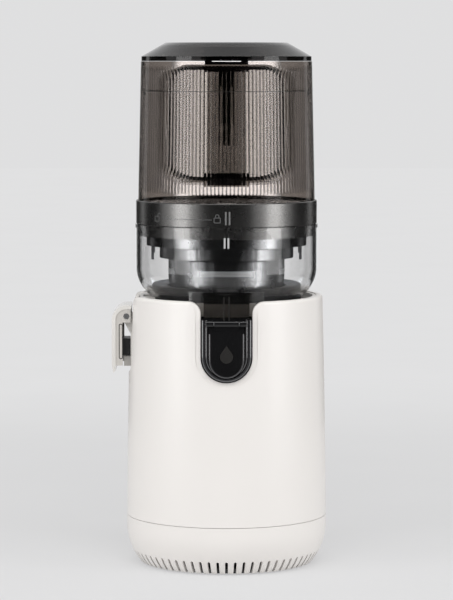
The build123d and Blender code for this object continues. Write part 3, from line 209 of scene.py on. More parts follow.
def wire(path, axis, radius, sides=8):
    """Round wire along a path that turns about an axis.

    The section is a circle, radius * (cos a, sin a), on the two directions square to the path's run.
    """
    run = np.gradient(path, axis=0)
    run /= np.linalg.norm(run, axis=1)[:, None]
    across = np.cross(run, np.asarray(axis, float))
    across /= np.linalg.norm(across, axis=1)[:, None]
    up = np.cross(across, run)
    a = np.arange(sides) * tau / sides
    return carried_ring(path, across, up, radius * np.stack([np.cos(a), np.sin(a)], -1))


def coil_spring(centre, axis, across, radius, wire_radius, length, turns, steps=20):
    """Compression or torsion spring: centre + radius * (cos t * across + sin t * third) + rise(t) * axis.

    The rise is nearly flat over the first and last turn, so that the end coils close up.
    """
    centre, axis, across = (np.asarray(v, float) for v in (centre, axis, across))
    t = np.linspace(0, 1, int(turns * steps) + 1)
    rise = length * np.clip((t * turns - 0.6) / (turns - 1.2), 0, 1)
    third = np.cross(axis, across)
    turn = t[:, None] * turns * tau
    path = centre + radius * (np.cos(turn) * across + np.sin(turn) * third) + rise[:, None] * axis
    return wire(path, axis, wire_radius)


def node_spring(name, node, body, run, start, wide, wire_radius, turns):
    """Coil in the box of the spring node that it stands for.

    run, start and wide are numbers of axes: the coil runs along the first, starts on the second, and is as
    wide as the box is along the third.
    """
    low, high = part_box(node)
    centre = list((low + high) / 2)
    centre[run] = low[run] + wire_radius
    axes = np.eye(3)
    radius = (high[wide] - low[wide]) / 2 - wire_radius
    coil = coil_spring(centre, axes[run], axes[start], radius, wire_radius,
                       high[run] - low[run] - 2 * wire_radius, turns)
    new_piece(name, *coil, body, "steel", turned_steel(), [node])


def turned_band(turn, height, section):
    """A closed section of (radius, rise) points carried round the drive axis through the angles in turn.

    Point (i, k) = (radius_k * sin turn_i, -radius_k * cos turn_i, height + rise_k).
    """
    zero = np.zeros_like(turn)
    path = np.stack([zero, zero, zero + height], -1)
    across = np.stack([np.sin(turn), -np.cos(turn), zero], -1)
    return carried_ring(path, across, np.broadcast_to((0.0, 0.0, 1.0), across.shape), section)


def shared_group(name):
    """Decorator for a maker of a node group: made once, and found by its name from then on."""
    def wrap(make):
        return lambda: bpy.data.node_groups.get(name) or make(name)
    return wrap


@shared_group("Smooth shading")
def smooth_shading_group(name):
    """Geometry nodes: merge by distance, drop the stored normals, smooth faces, sharp edges past an angle."""
    group = bpy.data.node_groups.new(name, "GeometryNodeTree")
    sockets = group.interface
    sockets.new_socket("Geometry", in_out="INPUT", socket_type="NodeSocketGeometry")
    sockets.new_socket("Angle", in_out="INPUT", socket_type="NodeSocketFloat").default_value = smooth_angle
    sockets.new_socket("Geometry", in_out="OUTPUT", socket_type="NodeSocketGeometry")
    nodes, links = group.nodes, group.links
    start, end = nodes.new("NodeGroupInput"), nodes.new("NodeGroupOutput")
    merge = nodes.new("GeometryNodeMergeByDistance")
    merge.inputs["Distance"].default_value = weld
    plain = nodes.new("GeometryNodeRemoveAttribute")
    plain.inputs["Name"].default_value = "custom_normal"
    faces = nodes.new("GeometryNodeSetShadeSmooth")
    faces.domain = "FACE"
    edges = nodes.new("GeometryNodeSetShadeSmooth")
    edges.domain = "EDGE"
    edges.inputs["Shade Smooth"].default_value = False
    bend = nodes.new("GeometryNodeInputMeshEdgeAngle")
    sharper = nodes.new("FunctionNodeCompare")
    sharper.operation = "GREATER_THAN"
    links.new(start.outputs[0], merge.inputs["Geometry"])
    for before, after in ((merge, plain), (plain, faces), (faces, edges)):
        links.new(before.outputs["Geometry"], after.inputs["Geometry"])
    links.new(bend.outputs["Unsigned Angle"], sharper.inputs["A"])
    links.new(start.outputs[1], sharper.inputs["B"])
    links.new(sharper.outputs["Result"], edges.inputs["Selection"])
    links.new(edges.outputs["Geometry"], end.inputs[0])
    return group


# ---------------------------------------------------------------- shared surface effects
def effect_group(name, inputs, outputs):
    """An empty shader node group, from its inputs with their defaults and the names of its outputs.

    Returns the group, its inputs as sockets by name, and its output node.
    """
    group = bpy.data.node_groups.new(name, "ShaderNodeTree")
    for label, value in inputs.items():
        kind = "NodeSocketColor" if isinstance(value, tuple) else "NodeSocketFloat"
        group.interface.new_socket(label, in_out="INPUT", socket_type=kind).default_value = value
    for label in outputs:
        kind = "NodeSocketColor" if label == "Color" else "NodeSocketFloat"
        group.interface.new_socket(label, in_out="OUTPUT", socket_type=kind)
    start, end = group.nodes.new("NodeGroupInput"), group.nodes.new("NodeGroupOutput")
    return group, start.outputs, end


def feed(tree, node, **sources):
    """Links outputs to a node's inputs by name; spaces in input names are written as _."""
    for label, source in sources.items():
        tree.links.new(source, node.inputs[label.replace("_", " ")])


def set_inputs(node, **values):
    """Sets a node's inputs by name; spaces in input names are written as _."""
    for label, value in values.items():
        socket = node.inputs[label.replace("_", " ")]
        socket.default_value = (*value[:3], 1) if socket.type == "RGBA" else value


def math_node(tree, operation, *values):
    """A Math node fed with numbers and sockets; returns its output."""
    node = tree.nodes.new("ShaderNodeMath")
    node.operation = operation
    for i, value in enumerate(values):
        if isinstance(value, (int, float)):
            node.inputs[i].default_value = value
        else:
            tree.links.new(value, node.inputs[i])
    return node.outputs[0]


def mix_colours(tree, factor, first, second, blend="MIX"):
    """A Mix Color node; each argument is a number, a colour or a socket; returns its output."""
    node = tree.nodes.new("ShaderNodeMix")
    node.data_type = "RGBA"
    node.blend_type = blend
    for socket, value in ((node.inputs[0], factor), (node.inputs[6], first), (node.inputs[7], second)):
        if hasattr(value, "links"):
            tree.links.new(value, socket)
        elif isinstance(value, (int, float)):
            socket.default_value = value
        else:
            socket.default_value = (*value[:3], 1)
    return node.outputs[2]


def noise(tree, vector, scale, detail=3.0, roughness=0.55):
    """A Noise Texture on a vector socket; returns its factor output."""
    node = tree.nodes.new("ShaderNodeTexNoise")
    tree.links.new(vector, node.inputs["Vector"])
    if hasattr(scale, "links"):
        tree.links.new(scale, node.inputs["Scale"])
    else:
        node.inputs["Scale"].default_value = scale
    node.inputs["Detail"].default_value = detail
    node.inputs["Roughness"].default_value = roughness
    return node.outputs[0]


def object_place(tree):
    """Object coordinates, in metres from the model's origin."""
    return tree.nodes.new("ShaderNodeTexCoord").outputs["Object"]


def object_axes(tree):
    """Object coordinates as three outputs, x, y and z."""
    split = tree.nodes.new("ShaderNodeSeparateXYZ")
    tree.links.new(object_place(tree), split.inputs[0])
    return split.outputs


def sum_of_squares(tree, first, second):
    """first ** 2 + second ** 2."""
    squares = [math_node(tree, "POWER", value, 2.0) for value in (first, second)]
    return math_node(tree, "ADD", *squares)


def off_half(tree, value):
    """value - 0.5."""
    return math_node(tree, "SUBTRACT", value, 0.5)


def ramp(tree, value, start, end, low=0.0, high=1.0, eased=False):
    """A Map Range node: low at start, high at end and clamped outside them; returns its output."""
    node = tree.nodes.new("ShaderNodeMapRange")
    if eased:
        node.interpolation_type = "SMOOTHSTEP"
    set_inputs(node, From_Min=start, From_Max=end, To_Min=low, To_Max=high)
    tree.links.new(value, node.inputs["Value"])
    return node.outputs[0]


def mixed_surface(tree, factor, first, second, output="Material Output"):
    """The tree's surface: the first shader at factor 0 and the second at 1."""
    choose = tree.nodes.new("ShaderNodeMixShader")
    for socket, source in zip(choose.inputs, (factor, first, second)):
        tree.links.new(source, socket)
    tree.links.new(choose.outputs[0], tree.nodes[output].inputs["Surface"])


@shared_group("Moulded grain")
def moulded_grain(name):
    """Group: fine spark-eroded grain with slow cloudiness of colour and gloss over a moulded part."""
    tree, start, end = effect_group(
        name, {"Color": (0.5, 0.5, 0.5, 1), "Cloudiness": 0.04, "Grain scale": 1400.0, "Roughness": 0.4,
               "Roughness spread": 0.06}, ("Color", "Roughness", "Height"))
    place = object_place(tree)
    darker = mix_colours(tree, 1.0, start["Color"], (0.80, 0.79, 0.78), "MULTIPLY")
    cloud = math_node(tree, "MULTIPLY", noise(tree, place, 14.0, 2.0), start["Cloudiness"])
    uneven = off_half(tree, noise(tree, place, 55.0, 4.0))
    spread = math_node(tree, "MULTIPLY", uneven, start["Roughness spread"])
    feed(tree, end, Color=mix_colours(tree, cloud, start["Color"], darker),
         Roughness=math_node(tree, "ADD", start["Roughness"], spread),
         Height=noise(tree, place, start["Grain scale"], 2.0))
    return tree


@shared_group("Metal flake")
def metal_flake(name):
    """Group: fine flakes in a paint or a filled plastic, as small cells of differing brightness."""
    tree, start, end = effect_group(
        name, {"Color": (0.2, 0.2, 0.2, 1), "Flake color": (0.4, 0.4, 0.4, 1), "Flake scale": 2600.0,
               "Amount": 0.35, "Roughness": 0.35}, ("Color", "Roughness", "Height"))
    place = object_place(tree)
    cells = tree.nodes.new("ShaderNodeTexVoronoi")
    feed(tree, cells, Vector=place, Scale=start["Flake scale"])
    split = tree.nodes.new("ShaderNodeSeparateColor")
    tree.links.new(cells.outputs["Color"], split.inputs[0])
    bright = math_node(tree, "POWER", split.outputs[0], 3.0)
    amount = math_node(tree, "MULTIPLY", bright, start["Amount"])
    cloud = off_half(tree, noise(tree, place, 40.0, 3.0))
    feed(tree, end, Color=mix_colours(tree, amount, start["Color"], start["Flake color"]),
         Roughness=math_node(tree, "MULTIPLY_ADD", cloud, 0.08, start["Roughness"]),
         Height=split.outputs[1])
    return tree


@shared_group("Turned lines")
def turned_lines(name):
    """Group: fine tool lines round the drive axis, from noise over the radius and the height alone."""
    tree, start, end = effect_group(
        name, {"Color": (0.6, 0.6, 0.6, 1), "Line scale": 5000.0, "Contrast": 0.25, "Roughness": 0.3},
        ("Color", "Roughness", "Height"))
    x, y, z = object_axes(tree)
    lines = tree.nodes.new("ShaderNodeCombineXYZ")
    feed(tree, lines, X=math_node(tree, "SQRT", sum_of_squares(tree, x, y)), Z=z)
    fine = noise(tree, lines.outputs[0], start["Line scale"], 2.0)
    broad = noise(tree, object_place(tree), 60.0, 3.0)
    both = math_node(tree, "MULTIPLY_ADD", broad, 0.4, math_node(tree, "MULTIPLY", fine, 0.6))
    dull = mix_colours(tree, 1.0, start["Color"], (0.62, 0.62, 0.62), "MULTIPLY")
    amount = math_node(tree, "MULTIPLY", both, start["Contrast"])
    feed(tree, end, Color=mix_colours(tree, amount, start["Color"], dull),
         Roughness=math_node(tree, "MULTIPLY_ADD", both, 0.14, start["Roughness"]), Height=fine)
    return tree


@shared_group("Wiped gloss")
def wiped_gloss(name):
    """Group: the faint smears and dust of a wiped glossy surface, as roughness and a shallow ripple."""
    tree, start, end = effect_group(
        name, {"Roughness": 0.04, "Smear": 0.05, "Ripple scale": 30.0}, ("Roughness", "Height"))
    drawn_out = tree.nodes.new("ShaderNodeMapping")
    drawn_out.inputs["Scale"].default_value = (1.0, 1.0, 0.35)
    tree.links.new(object_place(tree), drawn_out.inputs["Vector"])
    place = drawn_out.outputs[0]
    smear = math_node(tree, "POWER", noise(tree, place, 26.0, 5.0, 0.65), 2.0)
    feed(tree, end, Height=noise(tree, place, start["Ripple scale"], 1.0),
         Roughness=math_node(tree, "MULTIPLY_ADD", smear, start["Smear"], start["Roughness"]))
    return tree


@shared_group("Round holes")
def round_holes(name):
    """Group: staggered round holes in a sheet rolled about the drive axis, as a hole mask.

    Cell = (angle * columns, height * rows), odd rows moved by half; the hole is where the distance to the
    cell's middle is under the radius.
    """
    tree, start, end = effect_group(
        name, {"Columns": 220.0, "Rows per metre": 800.0, "Radius": 0.3}, ("Mask",))
    x, y, z = object_axes(tree)
    angle = math_node(tree, "DIVIDE", math_node(tree, "ARCTAN2", y, x), tau)
    along = math_node(tree, "MULTIPLY", angle, start["Columns"])
    rise = math_node(tree, "MULTIPLY", z, start["Rows per metre"])
    odd = math_node(tree, "MODULO", math_node(tree, "FLOOR", rise), 2.0)
    along = math_node(tree, "MULTIPLY_ADD", odd, 0.5, along)
    u, v = (off_half(tree, math_node(tree, "FRACT", value)) for value in (along, rise))
    away = math_node(tree, "SQRT", sum_of_squares(tree, u, v))
    feed(tree, end, Mask=math_node(tree, "LESS_THAN", away, start["Radius"]))
    return tree


# ---------------------------------------------------------------- finishes
def blank_material(name):
    """A new material with its tree and Principled shader."""
    made = bpy.data.materials.new(name)
    made.use_nodes = True
    return made, *material_parts(made)


def material_parts(made):
    """A material's tree and Principled shader."""
    return made.node_tree, made.node_tree.nodes["Principled BSDF"]


def place_group(tree, group, **values):
    """A group node in a material, with its inputs set as set_inputs does."""
    node = tree.nodes.new("ShaderNodeGroup")
    node.node_tree = group
    set_inputs(node, **values)
    return node


def add_bump(tree, height, shader, distance, strength=1.0):
    """A Bump node from a height socket into the shader's normal; distance in metres."""
    bump = tree.nodes.new("ShaderNodeBump")
    set_inputs(bump, Distance=distance, Strength=strength)
    tree.links.new(height, bump.inputs["Height"])
    tree.links.new(bump.outputs[0], shader.inputs["Normal"])


def coat_with(tree, effect, shader, relief, strength=1.0):
    """Feeds an effect's colour, roughness and height into the shader; relief is its depth in metres."""
    outputs = effect.outputs
    if "Color" in outputs:
        tree.links.new(outputs["Color"], shader.inputs["Base Color"])
    tree.links.new(outputs["Roughness"], shader.inputs["Roughness"])
    add_bump(tree, outputs["Height"], shader, relief, strength)


def darkened(made, mask):
    """Turns a material's colour near black where the mask output is 1."""
    tree, shader = material_parts(made)
    color = shader.inputs["Base Color"].links[0].from_socket
    tree.links.new(mix_colours(tree, mask, color, (0.03, 0.03, 0.031)), shader.inputs["Base Color"])


def shared_material(make):
    """Decorator for a maker of a named material: made once, and found by its name from then on."""
    def get(name, *args, **values):
        return bpy.data.materials.get(name) or make(name, *args, **values)
    return get


@shared_material
def moulded(name, color, roughness, grain=1400.0, depth=6e-6, cloudiness=0.10, coat=0.0, level=0.5):
    """Opaque moulded plastic or rubber with a fine grain."""
    made, tree, shader = blank_material(name)
    effect = place_group(tree, moulded_grain(), Color=color, Cloudiness=cloudiness, Grain_scale=grain,
                         Roughness=roughness)
    coat_with(tree, effect, shader, depth)
    set_inputs(shader, Specular_IOR_Level=level, Coat_Weight=coat, Coat_Roughness=0.08)
    return made


@shared_material
def flaked(name, color, flake, roughness, metallic=0.6, amount=0.5, coat=0.0):
    """Satin metallic paint or plastic with fine flakes."""
    made, tree, shader = blank_material(name)
    effect = place_group(tree, metal_flake(), Color=color, Flake_color=flake, Amount=amount,
                         Roughness=roughness)
    coat_with(tree, effect, shader, 4e-6, 0.5)
    set_inputs(shader, Metallic=metallic, Coat_Weight=coat, Coat_Roughness=0.12)
    return made


@shared_material
def turned_metal(name, color, roughness, contrast=0.3):
    """Machined metal with fine lines round the drive axis."""
    made, tree, shader = blank_material(name)
    effect = place_group(tree, turned_lines(), Color=color, Contrast=contrast, Roughness=roughness)
    coat_with(tree, effect, shader, 3e-6, 0.6)
    set_inputs(shader, Metallic=1.0)
    return made


@shared_material
def gloss(name, color, roughness=0.05, level=0.4, coat=0.0):
    """High-gloss moulded plastic, lightly wiped."""
    made, tree, shader = blank_material(name)
    effect = place_group(tree, wiped_gloss(), Roughness=roughness, Smear=0.06)
    cloud = noise(tree, object_place(tree), 30.0, 3.0)
    lighter = tuple(min(1.0, c * 1.25 + 0.002) for c in color)
    tree.links.new(mix_colours(tree, cloud, color, lighter), shader.inputs["Base Color"])
    coat_with(tree, effect, shader, 2e-5, 0.35)
    set_inputs(shader, Specular_IOR_Level=level, Coat_Weight=coat)
    return made


@shared_material
def clear_plastic(name, tint, rim=0.55, roughness=0.02, ior=1.35, painted_flute_shade=0.0, coat=0.6):
    """Clear or smoked moulded plastic that lets lamps through.

    The tint deepens to tint * rim where the wall is seen edge-on. Its flute shade darkens the tint where the
    attribute
    "level" is high, along the grooves between the flutes: painted shade of the dark lines between them.
    """
    made, tree, shader = blank_material(name)
    effect = place_group(tree, wiped_gloss(), Roughness=roughness, Smear=0.03, Ripple_scale=18.0)
    facing = tree.nodes.new("ShaderNodeLayerWeight")
    set_inputs(facing, Blend=0.5)
    edge = math_node(tree, "POWER", facing.outputs["Facing"], 3.0)
    color = mix_colours(tree, edge, tint, tuple(c * rim for c in tint))
    if painted_flute_shade:
        # painted shade: "level" is high along the flute grooves, where the wall is thinnest
        thick = tree.nodes.new("ShaderNodeAttribute")
        thick.attribute_name = "level"
        amount = math_node(tree, "MULTIPLY", thick.outputs["Fac"], painted_flute_shade)
        color = mix_colours(tree, amount, color, (0.0, 0.0, 0.0))
    tree.links.new(color, shader.inputs["Base Color"])
    coat_with(tree, effect, shader, 1e-5, 0.5)
    set_inputs(shader, Transmission_Weight=1.0, IOR=ior, Coat_Weight=coat, Coat_Roughness=0.14)
    film = tree.nodes.new("ShaderNodeBsdfTransparent")
    set_inputs(film, Color=[math.sqrt(c) for c in tint])
    path = tree.nodes.new("ShaderNodeLightPath")
    mixed_surface(tree, path.outputs["Is Shadow Ray"], shader.outputs[0], film.outputs[0])
    return made


def turned_steel():
    """Bright turned steel of shafts, pins and springs."""
    return turned_metal("Turned steel", (0.56, 0.56, 0.57), 0.24)


def black_silicone():
    """Soft black silicone of seals and plugs."""
    return moulded("Black silicone", (0.022, 0.022, 0.023), 0.42, grain=500, depth=1e-5)


def foot_black():
    """Glossy black of the handle's foot."""
    return gloss("Foot black", (0.018, 0.018, 0.019), 0.14)


def wear(material, *names):
    """Gives CAD nodes their finish and shades them smooth with the shared modifier."""
    for name in names:
        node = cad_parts[name]
        shading = node.modifiers.new("Smooth shading", "NODES")
        shading.node_group = smooth_shading_group()
        shading["Socket_1"] = smooth_angle
        for slot in node.material_slots:
            slot.material = material


# ---------------------------------------------------------------- fluted hopper wall
fit_gap = 0.0001  # between the walls and the pieces let into them
cut_half = pocket_high.x + fit_gap  # half the width of the cut in the wall that holds the recess
cut_low, cut_high = pocket_low.z - fit_gap, pocket_high.z + fit_gap
cut_corner = 0.0203  # radius of the cut's corners
notch_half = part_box("hinge_block")[1].x + 2 * fit_gap  # half the width of the hinge's notch in the collar
wall_slope = (collar_high.x - hopper_high.x) / (collar_low.z - hopper_low.z)


def wall_radius(height):
    """Outer radius of the hopper: a straight taper from its foot to its rim."""
    return hopper_high.x + wall_slope * (height - hopper_low.z)


def wall_columns(sizes, steps=8):
    """Columns of the wall's grid, as kind, number, share and the first flute's angle.

    Kind 0 stands at a fixed angle from the rear, kind 1 runs between the recess cut and the first flute by
    its share, on the side its number's sign gives, and kind 2 stands at a fixed x inside the cut.
    """
    pitch = tau / sizes.flutes
    first = (math.floor(math.asin(cut_half / collar_high.x) / pitch) + 1.5) * pitch
    count = round((tau - 2 * first) / pitch * steps)
    front = np.linspace(first, tau - first, count + 1)
    between = np.linspace(0, 1, 4)[1:3]
    sweep = np.sin(np.linspace(-1, 1, 61) * math.pi / 2) * cut_half
    across = np.sort(np.concatenate([sweep, [-notch_half, notch_half]]))
    kind = np.repeat([0.0, 1.0, 2.0, 1.0], [len(front), 2, len(across), 2])
    number = np.concatenate([front, np.full(2, -first), across, np.full(2, first)])
    share = np.concatenate([np.zeros(len(front)), between[::-1], np.zeros(len(across)), between])
    return kind, number, share, first


def wall_angle(radius, columns):
    """Angle from the rear of each column at a radius: fixed, blended up to the cut, or asin(x / radius)."""
    kind, number, share, first = columns
    edge = np.arcsin(cut_half / radius)
    blended = np.sign(number) * (edge + share * (first - edge))
    inside = np.arcsin(np.clip(np.where(kind == 2, number, 0) / radius, -1, 1))
    return np.where(kind == 0, number, np.where(kind == 1, blended, inside))


def wall_grid(heights, columns, sizes, start, stop):
    """Outer and inner points and flute level on a grid of heights.

    Outer radius is the taper R(z). With off = |2 f - 1| over each flute's fraction f, inner radius is
    R(z) - wall + depth * off^5 * fade, and the level is off^2.6 * fade. fade rises over run_out from start
    and falls to 0 at stop, by up to late further in at the flute's edges, so that its ends are round.
    """
    run_out, late = 0.002, 0.0012
    outer = wall_radius(heights)
    angle = wall_angle(outer, columns)
    off = np.abs(2 * ((angle * sizes.flutes / tau) % 1.0) - 1)
    rounding = late * off ** 2
    fade = (np.clip((heights - start - rounding) / run_out, 0, 1)
            * np.clip((stop - heights - rounding) / run_out, 0, 1))
    fade = fade * fade * (3 - 2 * fade) * (columns[0] == 0)
    inner = outer - sizes.wall + sizes.depth * (off ** 5 * fade)
    inner_angle = wall_angle(inner, columns)
    height = np.broadcast_to(heights, outer.shape)
    outside = np.stack([outer * np.sin(angle), outer * np.cos(angle), height], -1)
    inside = np.stack([inner * np.sin(inner_angle), inner * np.cos(inner_angle), height], -1)
    return outside, inside, off ** 2.6 * fade


def walled(outside, inside, level, keep):
    """Closed shell between two grids of points, as points, faces and levels; keep drops faces to leave holes.

    The rim round each hole and along each end joins outer edge (a, b) to inner edge (a, b).
    """
    rows, columns = outside.shape[:2]
    faces = grid_faces(rows, columns, wrap=True)[keep.ravel()]
    used, faces = np.unique(faces, return_inverse=True)
    faces = faces.reshape(-1, 4)
    outer, inner = outside.reshape(-1, 3)[used], inside.reshape(-1, 3)[used]
    count = len(used)
    start, end = faces.ravel(), np.roll(faces, -1, axis=1).ravel()
    alone = ~np.isin(start * count + end, end * count + start)
    start, end = start[alone], end[alone]
    rim = np.stack([end, start, start + count, end + count], -1)
    return (np.concatenate([outer, inner]), np.concatenate([faces, faces[:, ::-1] + count, rim]),
            np.tile(level.ravel()[used], 2))


def corner_drop(x):
    """Height that the recess's rounded corner takes at x: c - sqrt(c^2 - (|x| - straight)^2)."""
    past = np.clip(np.abs(x) - (cut_half - cut_corner), 0, cut_corner)
    return cut_corner - np.sqrt(np.maximum(cut_corner ** 2 - past ** 2, 0))


def hopper_walls(sizes):
    """The shell and the collar, each as (points, faces, levels).

    Both are grids of the same columns. Each row stands at a share of the height from an end to the cut's
    edge, or from there to the other end, so that one row follows the rounded edge of the recess cut.
    """
    columns = wall_columns(sizes)
    kind, number = columns[:2]
    x = np.where(kind == 2, number, cut_half)
    inside_cut = (kind == 2) & (np.roll(kind, -1) == 2)
    top, bottom, rim = hopper_high.z, collar_low.z, collar_high.z
    edge_low, edge_high = cut_low + corner_drop(x), cut_high - corner_drop(x)
    beyond = 1.0  # puts the end of the flutes past the wall, so that they run through
    plain_rim = 0.0035  # height of the smooth band under the rim

    foot_steps = np.array([0, 0.17, 0.2, 0.22, 0.24, 0.26, 0.28, 0.31, 0.4, 0.7, 1.0])[:, None]
    side_steps = np.linspace(0, 1, 6)[1:, None]
    heights = np.concatenate([hopper_low.z + foot_steps * (edge_low - hopper_low.z),
                              edge_low + side_steps * (top - edge_low)])
    grid = wall_grid(heights, columns, sizes, hopper_low.z + sizes.plain_foot, top + beyond)
    keep = np.ones((len(heights) - 1, len(kind)), bool)
    keep[len(foot_steps) - 1:, inside_cut] = False
    shell = walled(*grid, keep)

    side_steps = np.linspace(0, 1, 3)[:-1, None]
    rim_steps = np.linspace(0, 1, 14)[:, None]
    heights = np.concatenate([bottom + side_steps * (edge_high - bottom),
                              edge_high + rim_steps * (rim - edge_high)])
    grid = wall_grid(heights, columns, sizes, bottom - beyond, rim - plain_rim)
    keep = np.ones((len(heights) - 1, len(kind)), bool)
    keep[:len(side_steps), inside_cut] = False
    keep[:, inside_cut & (np.abs(number + np.roll(number, -1)) / 2 < notch_half)] = False
    return shell, walled(*grid, keep)


# ---------------------------------------------------------------- raised marks
def stroke(line, width, height, place, low=rooted, closed=False):
    """A flat raised line: its two edges at the path +- width / 2 along the mitred normal, from low to height.

    line is (n, 2) in flat coordinates, and place maps (s, t, lift) arrays to points.
    """
    line = np.asarray(line, float)
    if closed:
        before, after = np.roll(line, 1, axis=0), np.roll(line, -1, axis=0)
    else:
        before = np.concatenate([2 * line[:1] - line[1:2], line[:-1]])
        after = np.concatenate([line[1:], 2 * line[-1:] - line[-2:-1]])
    into, out = line - before, after - line
    into /= np.linalg.norm(into, axis=1)[:, None]
    out /= np.linalg.norm(out, axis=1)[:, None]
    normal = np.stack([-(into + out)[:, 1], (into + out)[:, 0]], -1)
    normal /= np.linalg.norm(normal, axis=1)[:, None]
    mitre = 1 / np.clip((normal * np.stack([-into[:, 1], into[:, 0]], -1)).sum(1), 0.4, 1)
    side = normal * (width / 2 * mitre)[:, None]
    corners = [(line + side, low), (line + side, height), (line - side, height), (line - side, low)]
    points = np.stack([place(edge[:, 0], edge[:, 1], lift) for edge, lift in corners], 1)
    rows = len(line)
    if closed:
        ring = np.concatenate([points, points[:1]])
        return ring.reshape(-1, 3), grid_faces(rows + 1, 4, wrap=True).tolist()
    ends = [[0, 1, 2, 3], [4 * rows - 4, 4 * rows - 3, 4 * rows - 2, 4 * rows - 1]]
    return points.reshape(-1, 3), grid_faces(rows, 4, wrap=True).tolist() + ends


def rounded_box(half_width, half_height, corner, centre=(0, 0), steps=5):
    """Outline of a rounded rectangle: four quarter circles at the corners, in order."""
    a = np.linspace(0, math.pi / 2, steps)
    turn = np.concatenate([a + k * math.pi / 2 for k in range(4)])
    sx = np.repeat([1, -1, -1, 1], steps) * (half_width - corner)
    sy = np.repeat([1, 1, -1, -1], steps) * (half_height - corner)
    return np.stack([centre[0] + sx + corner * np.cos(turn), centre[1] + sy + corner * np.sin(turn)], -1)


def arch(radius, leg, centre, lean=0.0, steps=9):
    """A shackle: leg, half circle of the radius, leg, with the right leg shortened by lean."""
    a = np.linspace(math.pi, 0, steps)
    top = np.stack([radius * np.cos(a), leg + radius * np.sin(a)], -1)
    path = np.concatenate([[(-radius, 0)], top, [(radius, lean)]])
    return path + np.asarray(centre)


def on_cylinder(radius, angle, height):
    """Map from flat (s, t, lift) to a cylinder about the drive axis; angle 0 is the front, + to the right."""
    def place(s, t, lift):
        turn = angle + s / radius
        r = radius + lift
        return np.stack([r * np.sin(turn), -r * np.cos(turn), height + t], -1)
    return place


def on_plane(face, facing, height=0.0, right=1):
    """Map from flat (s, t, lift) to the upright plane y = face.

    It lifts towards facing, +1 or -1 along y, and s runs towards +X or, with right = -1, towards -X.
    """
    def place(s, t, lift):
        return np.stack([right * s, np.full_like(s, face + facing * lift), height + t], -1)
    return place


def padlock(place, sizes, opened):
    """Strokes of a plain padlock sign, its shackle lifted at one side where opened."""
    half_width, half_height, corner = 0.0027, 0.0021, 0.0006
    body = rounded_box(half_width, half_height, corner, (0, -0.0016))
    aside, lean = (0.0026, 0.0011) if opened else (0.0, 0.0)
    radius, leg, foot = 0.0015, 0.0013, 0.0005
    shackle = arch(radius, leg, (aside, foot), lean)
    return [stroke(body, sizes.stroke, sizes.relief, place, closed=True),
            stroke(shackle, sizes.stroke, sizes.relief, place)]


# ---------------------------------------------------------------- operators
class JUICER_OT_base_shells(bpy.types.Operator):
    """Satin white shells of the base, its dark deck, foot and seals"""
    bl_idname = "juicer.base_shells"
    bl_label = "Base shells"

    def execute(self, context):
        look = context.scene.juicer_finish
        satin = {"color": look.shell, "roughness": look.shell_roughness, "grain": 1500, "depth": 5e-6,
                 "cloudiness": 0.05}
        wear(moulded("Satin white shell", **satin, coat=0.12), "main_housing", "base_cover")
        deck = moulded("Deck grey", **satin)
        dark_radius = 0.0712
        tree, _ = material_parts(deck)
        x, y, _ = object_axes(tree)
        reach = sum_of_squares(tree, x, y)
        darkened(deck, math_node(tree, "LESS_THAN", reach, dark_radius ** 2))
        wear(deck, "top_deck")
        wear(moulded("Under plate grey", (0.22, 0.225, 0.23), 0.55, grain=700), "bottom_plate")
        wear(moulded("Foot rubber", (0.035, 0.035, 0.036), 0.75, grain=500, depth=2e-5), "rubber_foot_ring")
        wear(moulded("Seal rubber", (0.03, 0.03, 0.031), 0.6, grain=600, depth=1e-5), "shaft_seal")
        wear(moulded("Gland rubber", (0.05, 0.05, 0.052), 0.65, grain=600, depth=1e-5), "cord_gland")
        return {"FINISHED"}


class JUICER_OT_drive(bpy.types.Operator):
    """Finishes of the motor, its gearbox and the parts that turn"""
    bl_idname = "juicer.drive"
    bl_label = "Motor and gears"

    def execute(self, context):
        wear(turned_steel(), "motor_rotor", "sun_gear", "planet_carrier", "motor_can", "motor_bearings",
             "output_bearing", "bottom_screws")
        wear(turned_metal("Laminated core", (0.42, 0.41, 0.40), 0.40, contrast=0.9), "stator_core")
        wear(turned_metal("Enamelled copper", (0.62, 0.25, 0.10), 0.28, contrast=0.9), "stator_windings")
        wear(turned_metal("Cast bracket", (0.50, 0.50, 0.51), 0.42, contrast=0.5), "motor_frame")
        wear(moulded("Gear acetal", (0.80, 0.76, 0.66), 0.34, grain=900, coat=0.1),
             "planet_gear_1", "planet_gear_2", "planet_gear_3", "ring_gear")
        wear(moulded("Gearbox grey", (0.14, 0.145, 0.15), 0.5), "gearbox_housing", "fan", "board_bracket")
        wear(moulded("Board green", (0.03, 0.16, 0.07), 0.35, grain=400, cloudiness=0.5), "control_board")
        wear(moulded("Switch black", (0.022, 0.022, 0.023), 0.42), "dial_switch", "interlock_switch")
        return {"FINISHED"}


